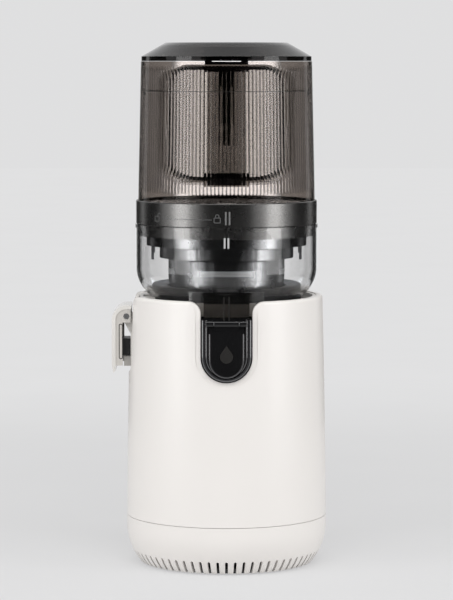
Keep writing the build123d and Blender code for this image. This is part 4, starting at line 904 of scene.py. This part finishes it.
class JUICER_OT_dial(bpy.types.Operator):
    """Rotary switch at the rear, with plain tick marks round its bezel"""
    bl_idname = "juicer.dial"
    bl_label = "Rear dial"

    def execute(self, context):
        relief = context.scene.juicer_marks.relief
        wear(flaked("Dial bezel grey", (0.10, 0.103, 0.108), (0.3, 0.3, 0.31), 0.38), "dial_bezel")
        wear(flaked("Dial grey", (0.13, 0.133, 0.138), (0.34, 0.34, 0.35), 0.32, coat=0.2), "power_dial")
        low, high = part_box("dial_bezel")
        middle = (low.z + high.z) / 2
        paint = moulded("Mark white", (0.72, 0.72, 0.71), 0.45, grain=600)

        bezel = on_plane(high.y, 1, middle, right=-1)
        tick_start, tick_end, tick_width = 0.0178, 0.0196, 0.0009
        parts = []
        for turn in (-45, 0, 45):
            a = math.radians(90 - turn)
            ends = np.array([(math.cos(a), math.sin(a))]) * np.array([[tick_start], [tick_end]])
            parts.append(stroke(ends, tick_width, relief, bezel))
        dot_turn, dot_at, dot_radius, dot_line = math.radians(157.5), 0.0187, 0.0004, 0.0004
        ring = tau * np.arange(16) / 16
        dot = (dot_at * np.array([math.cos(dot_turn), math.sin(dot_turn)])
               + dot_radius * np.stack([np.cos(ring), np.sin(ring)], -1))
        parts.append(stroke(dot, dot_line, relief, bezel, closed=True))
        new_piece("dial_ticks", *joined(*parts), "base", "ring_grey", paint)

        grip = on_plane(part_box("power_dial")[1].y, 1, middle, right=-1)
        inner_end, outer_end, width, proud = 0.0075, 0.0125, 0.0010, 0.00003
        pointer = stroke([(0, inner_end), (0, outer_end)], width, proud, grip)
        new_piece("dial_pointer", *pointer, "dial", "ring_grey", paint)
        return {"FINISHED"}


class JUICER_OT_bowl(bpy.types.Operator):
    """Clear bowl with its guide mark, its seals and the soft ring on its floor"""
    bl_idname = "juicer.bowl"
    bl_label = "Bowl"

    def execute(self, context):
        look, relief = context.scene.juicer_finish, context.scene.juicer_marks.relief
        clear = clear_plastic("Clear bowl", look.bowl_tint, rim=0.04, roughness=0.012, ior=1.24, coat=0.25)
        wear(clear, "juice_bowl")
        wear(black_silicone(), "bowl_seals")
        wall_inset, below_rim, half, width = 0.0009, 0.0126, 0.0045, 0.0015
        place = on_cylinder(bowl_high.x - wall_inset, 0.0, bowl_high.z - below_rim)
        bars = [stroke([(s, -half), (s, half)], width, relief, place) for s in (-0.0016, 0.0016)]
        new_piece("bowl_mark", *joined(*bars), "chamber", "clear_bowl",
                  moulded("Bowl mark grey", (0.50, 0.50, 0.50), 0.35, grain=600))
        self.floor_ring()
        return {"FINISHED"}

    @staticmethod
    def floor_ring():
        """Soft ring on the bowl's floor, open at the juice outlet: a rounded wedge carried round the axis."""
        floor = 0.0025  # thickness of the bowl's floor
        gap = 13  # degrees from the front to each end
        section = np.array([
            (0.0525, 0.0), (0.0655, 0.0), (0.0664, 0.0012), (0.0664, 0.0115), (0.0657, 0.0128),
            (0.0642, 0.0134), (0.0620, 0.0122), (0.0545, 0.0122), (0.0525, 0.0116)])
        ring = turned_band(np.radians(np.linspace(gap, 360 - gap, 140)), bowl_low.z + floor, section)
        new_piece("floor_ring", *ring, "chamber", "silicone",
                  moulded("Floor ring grey", (0.010, 0.010, 0.0105), 0.50, grain=500, depth=1e-5, level=0.15))


class JUICER_OT_strainer(bpy.types.Operator):
    """Strainer basket with its fine sheet, hooks and screw"""
    bl_idname = "juicer.strainer"
    bl_label = "Strainer and screw"

    def execute(self, context):
        basket, sheet = self.basket_colour_and_painted_reflection(), self.perforated_sheet_and_hole_shade()
        wear(basket, "strainer_basket")
        wear(moulded("Screw grey", (0.10, 0.10, 0.10), 0.30, coat=0.2), "auger", "feed_wing")
        wear(sheet, "strainer_mesh")
        self.mesh_sleeve(basket, sheet)
        new_piece("basket_hooks", *self.hooks(), "chamber", "basket_grey",
                  gloss("Hook grey", (0.10, 0.10, 0.105), 0.12))
        return {"FINISHED"}

    @staticmethod
    def basket_colour_and_painted_reflection():
        """Flaked grey: darker at the two sides of the flange, and down the middle from below the flange as
        painted reflection.
        """
        grey = flaked("Basket grey", (0.26, 0.262, 0.266), (0.55, 0.55, 0.56), 0.26, metallic=1.0, amount=0.3)
        tree, _ = material_parts(grey)
        x, _, z = object_axes(tree)
        across = math_node(tree, "ABSOLUTE", x)

        def area(heights, sides):
            """0 below the first height and at the first |x|, 1 above the second and at the second |x|."""
            return math_node(tree, "MULTIPLY", ramp(tree, z, *heights), ramp(tree, across, *sides))

        flange = area((0.2705, 0.2720), (0.0405, 0.0450))
        # painted reflection: the middle of the front and back is darkened as the mirror image of dark
        # surroundings
        middle = area((0.2620, 0.2630), (0.0300, 0.0170))
        strength = 0.88
        both = math_node(tree, "MAXIMUM", flange, middle)
        darkened(grey, math_node(tree, "MULTIPLY", both, strength))
        return grey

    @staticmethod
    def perforated_sheet_and_hole_shade():
        """Turned steel sheet with rows of fine round holes, which are sunk and painted near black as the
        shade inside them.
        """
        made, tree, shader = blank_material("Perforated steel")
        pattern = place_group(tree, round_holes(), Columns=230.0, Rows_per_metre=850.0, Radius=0.30)
        holes = pattern.outputs["Mask"]
        lines = place_group(tree, turned_lines(), Color=(0.66, 0.67, 0.68), Roughness=0.26).outputs
        # painted shade: the holes are coloured near black for the dark inside seen through them
        feed(tree, shader, Base_Color=mix_colours(tree, holes, lines["Color"], (0.02, 0.02, 0.02)),
             Roughness=lines["Roughness"])
        add_bump(tree, math_node(tree, "SUBTRACT", 1.0, holes), shader, 1e-4, 0.6)
        set_inputs(shader, Metallic=0.85)
        return made

    @staticmethod
    def mesh_sleeve(plain, perforated):
        """Thin sleeve round the basket with four perforated bands: a profile of radius and height, turned.

        Faces of the outer side between the band's heights, and within half_turn degrees of each quarter, get
        the perforated sheet.
        """
        radius, low, high = 0.0512, 0.2525, 0.2698
        hem, skin, chamfer = 2e-5, 2.5e-4, 3e-4  # how far the ends and the sheet stand out, and their slope
        band_low, band_high, half_turn = 0.2571, 0.2621, 26
        sides = 180
        profile = np.array([
            (radius + hem, low), (radius + skin, low + chamfer), (radius + skin, band_low),
            (radius + skin, band_high), (radius + skin, high - chamfer), (radius + hem, high)])
        a = np.arange(sides) * tau / sides
        points = np.stack([profile[:, :1] * np.sin(a), -profile[:, :1] * np.cos(a),
                           np.broadcast_to(profile[:, 1:], (len(profile), sides))], -1)
        rows = np.concatenate([points, points[:1]])
        piece = new_piece("mesh_sleeve", rows, grid_faces(len(rows), sides, wrap=True), "chamber",
                          "basket_grey", plain)
        piece.data.materials.append(perforated)
        middle = np.empty(len(piece.data.polygons) * 3)
        piece.data.polygons.foreach_get("center", middle)
        x, y, z = middle.reshape(-1, 3).T
        off = np.abs((np.degrees(np.arctan2(x, -y)) + 45) % 90 - 45)
        band = (off < half_turn) & (z > band_low) & (z < band_high) & (np.hypot(x, y) > radius + skin / 2)
        piece.data.polygons.foreach_set("material_index", band.astype(np.int32))

    @staticmethod
    def hooks():
        """Curved tabs under the basket's flange: radius r, angle s / r, height falling from the flange.

        Each tab is a stroke from top to bottom on a cylinder, so its faces lie at r and r + thickness.
        """
        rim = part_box("strainer_basket")[1]
        inset, below_rim, thickness = 0.0065, 0.0105, 0.0024
        parts = []
        for side in (-1, 1):
            for turn, drop, width in ((86, 0.0255, 0.0042), (97, 0.0205, 0.0030)):
                place = on_cylinder(rim.x - inset, math.radians(side * turn), rim.z)
                parts.append(stroke([(0, -below_rim), (0, -drop)], width, thickness, place, low=0.0))
        return joined(*parts)


class JUICER_OT_spout(bpy.types.Operator):
    """Glossy juice spout, its flap and the smoked duct"""
    bl_idname = "juicer.spout"
    bl_label = "Juice spout"

    def execute(self, context):
        wear(gloss("Gloss black", (0.006, 0.006, 0.0065), 0.04), "spout_shroud", "juice_cap")
        wear(black_silicone(), "juice_cap_seal")
        wear(gloss("Drop grey", (0.022, 0.021, 0.020), 0.16), "drop_mark")
        wear(turned_steel(), "juice_cap_pin")
        wear(clear_plastic("Smoked duct", context.scene.juicer_finish.duct_smoke, rim=0.35), "spout_duct")
        self.beads(gloss("Bead gloss", (0.030, 0.030, 0.032), 0.06, level=1.0, coat=1.0))
        self.ribs()
        return {"FINISHED"}

    @staticmethod
    def ribs():
        """Two upright ribs on the duct's front, above the shroud, as flat strokes."""
        low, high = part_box("spout_duct")
        foot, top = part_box("spout_shroud")[1].z - 0.004, high.z - 0.0030
        width, proud = 0.0012, 0.0003
        front = on_plane(low.y, -1)
        parts = [stroke([(x, foot), (x, top)], width, proud, front) for x in (-0.0022, 0.0022)]
        new_piece("duct_ribs", *joined(*parts), "chamber", "smoke_duct",
                  gloss("Rib dark", (0.02, 0.019, 0.018)))

    @staticmethod
    def beads(finish):
        """Rounded glossy beads on the shroud's front that follow its U, and one round the flap's panel.

        The path is down one side, half round the foot and up the other, on a cylinder of the front's radius.
        """
        low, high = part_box("spout_shroud")
        cap_low, cap_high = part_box("juice_cap")
        front = housing_radius - 0.0003
        foot, top = low.z + 0.0016, high.z - 0.001
        flatter = 0.85  # height of a bead's section over its width
        b = np.arange(10) * tau / 10
        circle = np.stack([np.cos(b), flatter * np.sin(b)], -1)
        a = np.linspace(math.pi, 2 * math.pi, 41)
        for name, body, half, low_end, top_end, radius, thick in (
                ("shroud_bead_outer", "chamber", high.x - 0.0018, foot + 0.0002, top, front - 0.0003, 0.0014),
                ("shroud_bead_inner", "chamber", high.x - 0.0048, foot + 0.0032, top, front - 0.0003, 0.0009),
                ("cap_bead", "cap", cap_high.x - 0.0011, cap_low.z + 0.0011, cap_high.z - 0.0115,
                 front + 0.0010, 0.0008)):
            s = np.concatenate([[-half], half * np.cos(a), [half]])
            t = np.concatenate([[top_end], low_end + half + half * np.sin(a), [top_end]])
            turn = s / radius
            path = np.stack([radius * np.sin(turn), -radius * np.cos(turn), t], -1)
            outward = np.stack([np.sin(turn), -np.cos(turn), np.zeros_like(turn)], -1)
            run = np.gradient(path, axis=0)
            run /= np.linalg.norm(run, axis=1)[:, None]
            bead = carried_ring(path, np.cross(run, outward), outward, thick * circle)
            new_piece(name, *bead, body, "black_gloss", finish)


class JUICER_OT_pulp_lever(bpy.types.Operator):
    """Pulp outlet with its lever, cheeks, plug and coil spring"""
    bl_idname = "juicer.pulp_lever"
    bl_label = "Pulp lever"

    def execute(self, context):
        wear(gloss("Lever pale grey", (0.70, 0.68, 0.65), 0.16, level=0.5, coat=0.2), "pulp_lever")
        wear(moulded("Cheek beige", (0.60, 0.575, 0.54), 0.36), "lever_cheeks")
        wear(gloss("Link grey", (0.36, 0.36, 0.37), 0.16), "latch_link")
        wear(black_silicone(), "pulp_plug")
        wear(moulded("Chute pale grey", (0.62, 0.60, 0.57), 0.34, coat=0.15), "pulp_chute")
        wear(turned_steel(), "lever_pin")
        node_spring("lever_coil", "lever_spring", "chamber", run=1, start=2, wide=0, wire_radius=0.0006,
                    turns=13)
        self.cheek_slots()
        return {"FINISHED"}

    @staticmethod
    def cheek_slots():
        """Long rounded slot drawn on each cheek plate below the pin, as a closed flat stroke."""
        low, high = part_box("lever_cheeks")
        pin_low, pin_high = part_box("lever_pin")
        top, foot = pin_low.z - 0.0045, low.z + 0.0060
        middle = (low.x + (pin_low.x + pin_high.x) / 2) / 2 - 0.0001
        half_width, corner, line_width, proud = 0.0014, 0.0013, 0.0007, 0.00015
        line = rounded_box(half_width, (top - foot) / 2, corner, (middle, (top + foot) / 2))
        parts = [stroke(line, line_width, proud, on_plane(face, facing), closed=True)
                 for face, facing in ((low.y, -1), (high.y, 1))]
        new_piece("cheek_slots", *joined(*parts), "lever", "cheek_plastic",
                  gloss("Slot dark", (0.045, 0.043, 0.04), 0.3))


class JUICER_OT_hopper(bpy.types.Operator):
    """Smoked hopper with its fluted walls, lock ring, finger recess and handle bar"""
    bl_idname = "juicer.hopper"
    bl_label = "Hopper"

    def execute(self, context):
        look = context.scene.juicer_finish
        # the fluted smoke paints shade along the flute grooves, up to 0.8 of full darkening
        smoke = clear_plastic("Fluted smoke", look.smoke, rim=0.35, roughness=0.03, ior=1.13,
                              painted_flute_shade=0.8, coat=0.05)
        walls = hopper_walls(context.scene.juicer_hopper)
        for name, node, (points, faces, levels) in zip(
                ("fluted_shell", "fluted_collar"), ("hopper_shell", "hopper_collar"), walls):
            new_piece(name, points, faces, "hopper", "smoke_hopper", smoke, [node], values=levels, sharp=40)
        self.joint(collar_low.z)
        self.recess_edge()
        wear(clear_plastic("Bar smoke", look.bar_smoke, rim=0.45), "handle_bar")
        wear(clear_plastic("Recess smoke", look.pocket_smoke, rim=0.12, ior=1.3), "handle_pocket")
        wear(foot_black(), "handle_foot")
        wear(gloss("Hinge black", (0.020, 0.020, 0.021), 0.16), "hinge_block")
        wear(moulded("Rod grey", (0.045, 0.045, 0.046), 0.40), "interlock_rod")
        wear(turned_steel(), "lid_hinge_pin")
        wear(flaked("Ring grey", (0.15, 0.147, 0.143), (0.40, 0.40, 0.40), 0.27, metallic=1.0, amount=0.22),
             "hopper_ring")
        node_spring("rod_coil", "rod_spring", "hopper", run=2, start=0, wide=0, wire_radius=0.0004, turns=14)
        node_spring("lid_coil", "lid_spring", "hopper", run=0, start=2, wide=2, wire_radius=0.0004, turns=10)
        return {"FINISHED"}

    @staticmethod
    def recess_edge():
        """Beads round the front of the finger recess, a dark one inside a paler one, and a foot plate. The
        dark one is painted shadow of the recess's walls seen edge-on.
        """
        front = on_plane(pocket_low.y, -1, (pocket_low.z + pocket_high.z) / 2)
        tall = (pocket_high.z - pocket_low.z) / 2
        lift = 0.0022  # the beads' foot stands this far above the recess's own
        root = -0.0004  # the beads start this far inside the recess's wall

        def outline(inset):
            """Quarter circles at the top, quarter ellipses and a shallow step down at the foot."""
            half, top, foot = pocket_high.x - inset, tall - inset, lift - tall + inset
            a, corner = np.linspace(0, math.pi / 2, 14), 0.0198 - inset
            wide, deep = 0.0335 - inset, 0.0175 - inset
            step_half, step_deep = 0.0182 + inset / 2, 0.0048 - inset
            parts = [(half - corner + corner * np.cos(a), top - corner + corner * np.sin(a)),
                     (corner - half - corner * np.sin(a), top - corner + corner * np.cos(a)),
                     (wide - half - wide * np.cos(a), foot + deep - deep * np.sin(a)),
                     (step_half * np.array([-1, -1, 1, 1]), foot - step_deep * np.array([0, 1, 1, 0])),
                     (half - wide + wide * np.sin(a), foot + deep - deep * np.cos(a))]
            return np.concatenate([np.stack(part, -1) for part in parts])

        plate_half = 0.0180
        plate = [(-plate_half, lift - tall), (plate_half, lift - tall)]
        pale = gloss("Rim pale", (0.62, 0.59, 0.56), 0.10)
        # painted shadow: the dark stroke stands for the shade of the recess's walls seen edge-on
        dark = gloss("Rim dark", (0.018, 0.017, 0.016), 0.10)
        for name, line, width, proud, closed, slot, finish in (
                ("recess_rim", outline(0.0008), 0.0012, 0.0007, True, "smoke_pocket", pale),
                ("foot_plate", plate, 0.0072, 0.0005, False, "black_plastic", foot_black()),
                ("recess_shadow", outline(0.0032), 0.0034, 0.0004, True, "smoke_pocket", dark)):
            form = stroke(line, width, proud, front, low=root, closed=closed)
            new_piece(name, *form, "hopper", slot, finish)

    @staticmethod
    def joint(height):
        """Dark line where the collar meets the shell, with a small clip below it at each side.

        The line is a thin rectangle carried round the wall; each clip is a short upright stroke.
        """
        radius = wall_radius(height) - 0.00005
        inner, outer, half = radius - 0.0004, radius + 0.00012, 0.00025  # the line's section
        end, clip = 136, 70  # degrees from the front to each end of the line and to each clip
        clip_top, clip_foot, clip_width, proud = 0.0008, 0.0036, 0.0036, 0.0002
        section = np.array([(inner, -half), (outer, -half), (outer, half), (inner, half)])
        parts = [turned_band(np.radians(np.linspace(-end, end, 220)), height, section)]
        for side in (-1, 1):
            place = on_cylinder(radius, math.radians(side * clip), height)
            parts.append(stroke([(0, -clip_top), (0, -clip_foot)], clip_width, proud, place))
        new_piece("joint_line", *joined(*parts), "hopper", "smoke_hopper",
                  gloss("Joint dark", (0.020, 0.019, 0.018), 0.2))


class JUICER_OT_ring_marks(bpy.types.Operator):
    """Raised lock signs, guide line and alignment bars on the lock ring"""
    bl_idname = "juicer.ring_marks"
    bl_label = "Ring marks"

    def execute(self, context):
        sizes = context.scene.juicer_marks
        radius = ring_high.x
        middle = ring_low.z + 0.0186  # height of the signs
        locked = -0.10  # angle of the closed padlock
        line_start, line_end, line_drop, line_width = 0.02, 0.16, 0.0012, 0.0005
        front = on_cylinder(radius, 0.0, middle)
        parts = padlock(on_cylinder(radius, locked - sizes.lock_turn, middle), sizes, True)
        parts += padlock(on_cylinder(radius, locked, middle), sizes, False)
        s = np.linspace(-sizes.lock_turn - line_start, -line_end, 24) * radius
        line = np.stack([s, np.full_like(s, -line_drop)], -1)
        parts.append(stroke(line, line_width, sizes.relief, front))
        new_piece("lock_signs", *joined(*parts), "hopper", "ring_grey",
                  moulded("Raised sign grey", (0.10, 0.10, 0.10), 0.30, grain=600))
        foot, top, width = -0.0056, 0.0058, 0.0014
        bars = [stroke([(s, foot), (s, top)], width, sizes.relief, front) for s in (-0.0006, 0.0026)]
        new_piece("alignment_bars", *joined(*bars), "hopper", "ring_grey",
                  moulded("Guide grey", (0.17, 0.17, 0.17), 0.30, grain=600))
        return {"FINISHED"}


class JUICER_OT_lid(bpy.types.Operator):
    """Dark smoked lid"""
    bl_idname = "juicer.lid"
    bl_label = "Lid"

    def execute(self, context):
        tint = context.scene.juicer_finish.lid_smoke
        wear(clear_plastic("Dark smoke", tint, rim=0.35, coat=0.15), "lid")
        return {"FINISHED"}


class JUICER_OT_stage(bpy.types.Operator):
    """Plain pale floor and background, black flags, a card, two tall side lamps, a top lamp and the camera"""
    bl_idname = "juicer.stage"
    bl_label = "Stage and camera"

    def execute(self, context):
        scene, sizes = context.scene, context.scene.juicer_stage
        self.background(scene, sizes)
        self.floor(sizes)
        self.flags()
        self.card(sizes)
        self.lamps(sizes)
        self.camera(scene)
        scene.view_settings.view_transform = "Standard"
        for label in ("max_bounces", "transmission_bounces", "transparent_max_bounces"):
            setattr(scene.cycles, label, 24)
        return {"FINISHED"}

    @staticmethod
    def camera(scene):
        """Long lens on a sensor 36 mm wide, in front of the object and tilted slightly down."""
        eye = bpy.data.cameras.new("Camera")
        eye.sensor_width, eye.lens, eye.clip_end = 36.0, 166.505, 30.0
        away, height, tilt = 2.451, 0.44518, 4.951
        camera = bpy.data.objects.new("Camera", eye)
        camera.location = (0.0, -away, height)
        camera.rotation_euler = (math.radians(90 - tilt), 0, 0)
        scene.collection.objects.link(camera)
        scene.camera = camera

    @staticmethod
    def seen_rays(tree):
        """1 for rays from the camera, a glossy surface or a clear one, else 0."""
        path = tree.nodes.new("ShaderNodeLightPath")
        camera, glossy, clear = (path.outputs[f"Is {kind} Ray"]
                                 for kind in ("Camera", "Glossy", "Transmission"))
        return math_node(tree, "MAXIMUM", math_node(tree, "MAXIMUM", camera, glossy), clear)

    @staticmethod
    def stage_piece(name, points, faces, material, hidden_from=()):
        """A piece of the stage, out of sight for the kinds of ray that are named."""
        mesh = bpy.data.meshes.new(name)
        mesh.from_pydata(np.asarray(points).reshape(-1, 3).tolist(), [], faces)
        mesh.materials.append(material)
        piece = bpy.data.objects.new(name, mesh)
        bpy.context.scene.collection.objects.link(piece)
        for kind in hidden_from:
            setattr(piece, "visible_" + kind, False)

    def background(self, scene, sizes):
        """World that lights evenly and shows the backdrop's colour where it is seen."""
        world = bpy.data.worlds.new("Studio")
        scene.world = world
        world.use_nodes = True
        tree = world.node_tree
        light, backdrop = tree.nodes["Background"], tree.nodes.new("ShaderNodeBackground")
        set_inputs(light, Color=(1, 1, 1), Strength=sizes.fill)
        set_inputs(backdrop, Color=sizes.backdrop)
        mixed_surface(tree, self.seen_rays(tree), light.outputs[0], backdrop.outputs[0], "World Output")

    def floor(self, sizes):
        """Round floor that takes the object's shadow near it and glows as the backdrop further out."""
        radius, sides = 9.0, 96
        near, far, near_glow = 0.3, 1.4, 0.62
        made, tree, shader = blank_material("Studio floor")
        place = object_place(tree)
        paler = tuple(min(1.0, c * 1.03) for c in sizes.backdrop)
        color = mix_colours(tree, noise(tree, place, 6.0, 3.0), sizes.backdrop, paler)
        tree.links.new(color, shader.inputs["Base Color"])
        set_inputs(shader, Roughness=0.9, Specular_IOR_Level=0.1)
        glow = tree.nodes.new("ShaderNodeEmission")
        set_inputs(glow, Strength=1.0)
        tree.links.new(color, glow.inputs["Color"])
        away = tree.nodes.new("ShaderNodeVectorMath")
        away.operation = "LENGTH"
        tree.links.new(place, away.inputs[0])
        fade = ramp(tree, away.outputs["Value"], near, far, near_glow, 1.0, eased=True)
        share = math_node(tree, "MULTIPLY", self.seen_rays(tree), fade)
        mixed_surface(tree, share, shader.outputs[0], glow.outputs[0])
        a = np.arange(sides) * tau / sides
        rim = radius * np.stack([np.cos(a), np.sin(a), 0 * a], -1)
        self.stage_piece("Floor", rim, [list(range(sides))], made)

    def flags(self):
        """Black studio flags round the object, which only reflections see, so that gloss has depth.

        Each is an arc of a cylinder 1 m in radius: its middle and its width in degrees, and its height.
        """
        cloth, tree, shader = blank_material("Flag cloth")
        weave = noise(tree, object_place(tree), 300.0)
        tree.links.new(mix_colours(tree, weave, (0.008, 0.008, 0.008), (0.016, 0.016, 0.016)),
                       shader.inputs["Base Color"])
        set_inputs(shader, Roughness=0.9)
        path = tree.nodes.new("ShaderNodeLightPath")
        reflected = math_node(tree, "GREATER_THAN", path.outputs["Glossy Depth"], 0.5)
        clear = tree.nodes.new("ShaderNodeBsdfTransparent")
        mixed_surface(tree, reflected, clear.outputs[0], shader.outputs[0])
        for name, turn, width, top in (("Front_flag", 0, 66, 1.8), ("Left_flag", -105, 38, 1.8),
                                       ("Right_flag", 105, 38, 1.8), ("Left_rear_flag", -148, 28, 0.60),
                                       ("Right_rear_flag", 148, 28, 0.60)):
            a, up = np.meshgrid(np.radians(turn + np.linspace(-width / 2, width / 2, 13)),
                                np.linspace(0.0, top, 5))
            self.stage_piece(name, np.stack([np.sin(a), -np.cos(a), up], -1), grid_faces(*a.shape).tolist(),
                             cloth, ("camera", "diffuse", "shadow"))

    def card(self, sizes):
        """Bright card behind the hopper, seen only through clear plastic, so that the finger recess reads."""
        half, back, low, high = 0.0530, 0.16, 0.300, 0.4455
        bright_half = 0.0425  # the card is at full strength up to this |x|
        made, tree, _ = blank_material("Bright card")
        paper = noise(tree, object_place(tree), 40.0)
        across = math_node(tree, "ABSOLUTE", object_axes(tree)[0])
        glow = tree.nodes.new("ShaderNodeEmission")
        feed(tree, glow, Color=mix_colours(tree, paper, (0.69, 0.73, 0.78), (0.71, 0.75, 0.80)),
             Strength=ramp(tree, across, bright_half, half, sizes.card_power, 1.0, eased=True))
        tree.links.new(glow.outputs[0], tree.nodes["Material Output"].inputs["Surface"])
        corners = [(-half, back, low), (half, back, low), (half, back, high), (-half, back, high)]
        self.stage_piece("Card", corners, [(0, 1, 2, 3)], made, ("camera", "diffuse", "glossy", "shadow"))

    @staticmethod
    def lamps(sizes):
        """Area lamps that face the object: angle in degrees, distance, height, watts, width and length."""
        middle = np.array([0, 0, 0.26])
        for name, turn, away, height, power, width, tall in (
                ("Left strip", -58, 1.5, 0.55, sizes.strip_power, 0.6, 1.5),
                ("Right strip", 62, 1.5, 0.55, sizes.strip_power, 0.6, 1.5),
                ("Top lamp", 0, 0.95, 1.75, sizes.top_power, 1.3, 0.9)):
            lamp = bpy.data.lights.new(name, "AREA")
            lamp.shape = "RECTANGLE"
            lamp.size, lamp.size_y, lamp.energy = width, tall, power
            held = bpy.data.objects.new(name, lamp)
            a = math.radians(turn)
            spot = np.array([away * math.sin(a), -away * math.cos(a), height])
            held.location = spot.tolist()
            towards = mathutils.Vector((middle - spot).tolist())
            held.rotation_euler = towards.to_track_quat("-Z", "Y").to_euler()
            bpy.context.scene.collection.objects.link(held)


# ---------------------------------------------------------------- panel
operators = (JUICER_OT_stage, JUICER_OT_base_shells, JUICER_OT_drive, JUICER_OT_dial, JUICER_OT_bowl,
             JUICER_OT_strainer, JUICER_OT_spout, JUICER_OT_pulp_lever, JUICER_OT_hopper,
             JUICER_OT_ring_marks, JUICER_OT_lid)
settings = {"juicer_finish": JuicerFinishSettings, "juicer_hopper": JuicerHopperSettings,
            "juicer_marks": JuicerMarkSettings, "juicer_stage": JuicerStageSettings}


class JUICER_PT_panel(bpy.types.Panel):
    """Lists the juicer's steps and settings"""
    bl_idname = "JUICER_PT_panel"
    bl_label = "Juicer"
    bl_space_type = "VIEW_3D"
    bl_region_type = "UI"
    bl_category = "Juicer"

    def draw(self, context):
        for step in operators:
            self.layout.operator(step.bl_idname)
        for label, group in settings.items():
            box = self.layout.box()
            for setting in group.__annotations__:
                box.prop(getattr(context.scene, label), setting)


def register():
    """Adds the settings, the steps and the panel."""
    for group in settings.values():
        bpy.utils.register_class(group)
    for step in (*operators, JUICER_PT_panel):
        bpy.utils.register_class(step)
    for label, group in settings.items():
        setattr(bpy.types.Scene, label, bpy.props.PointerProperty(type=group))


def unregister():
    """Takes them out again, in the opposite order."""
    for label in settings:
        delattr(bpy.types.Scene, label)
    for step in (JUICER_PT_panel, *reversed(operators)):
        bpy.utils.unregister_class(step)
    for group in reversed(settings.values()):
        bpy.utils.unregister_class(group)


def main():
    """Runs every step in order."""
    register()
    steps = bpy.ops.juicer
    for step in (steps.stage, steps.base_shells, steps.drive, steps.dial, steps.bowl, steps.strainer,
                 steps.spout, steps.pulp_lever, steps.hopper, steps.ring_marks, steps.lid):
        step()
    bpy.context.view_layer.update()


if __name__ == "__main__":
    main()
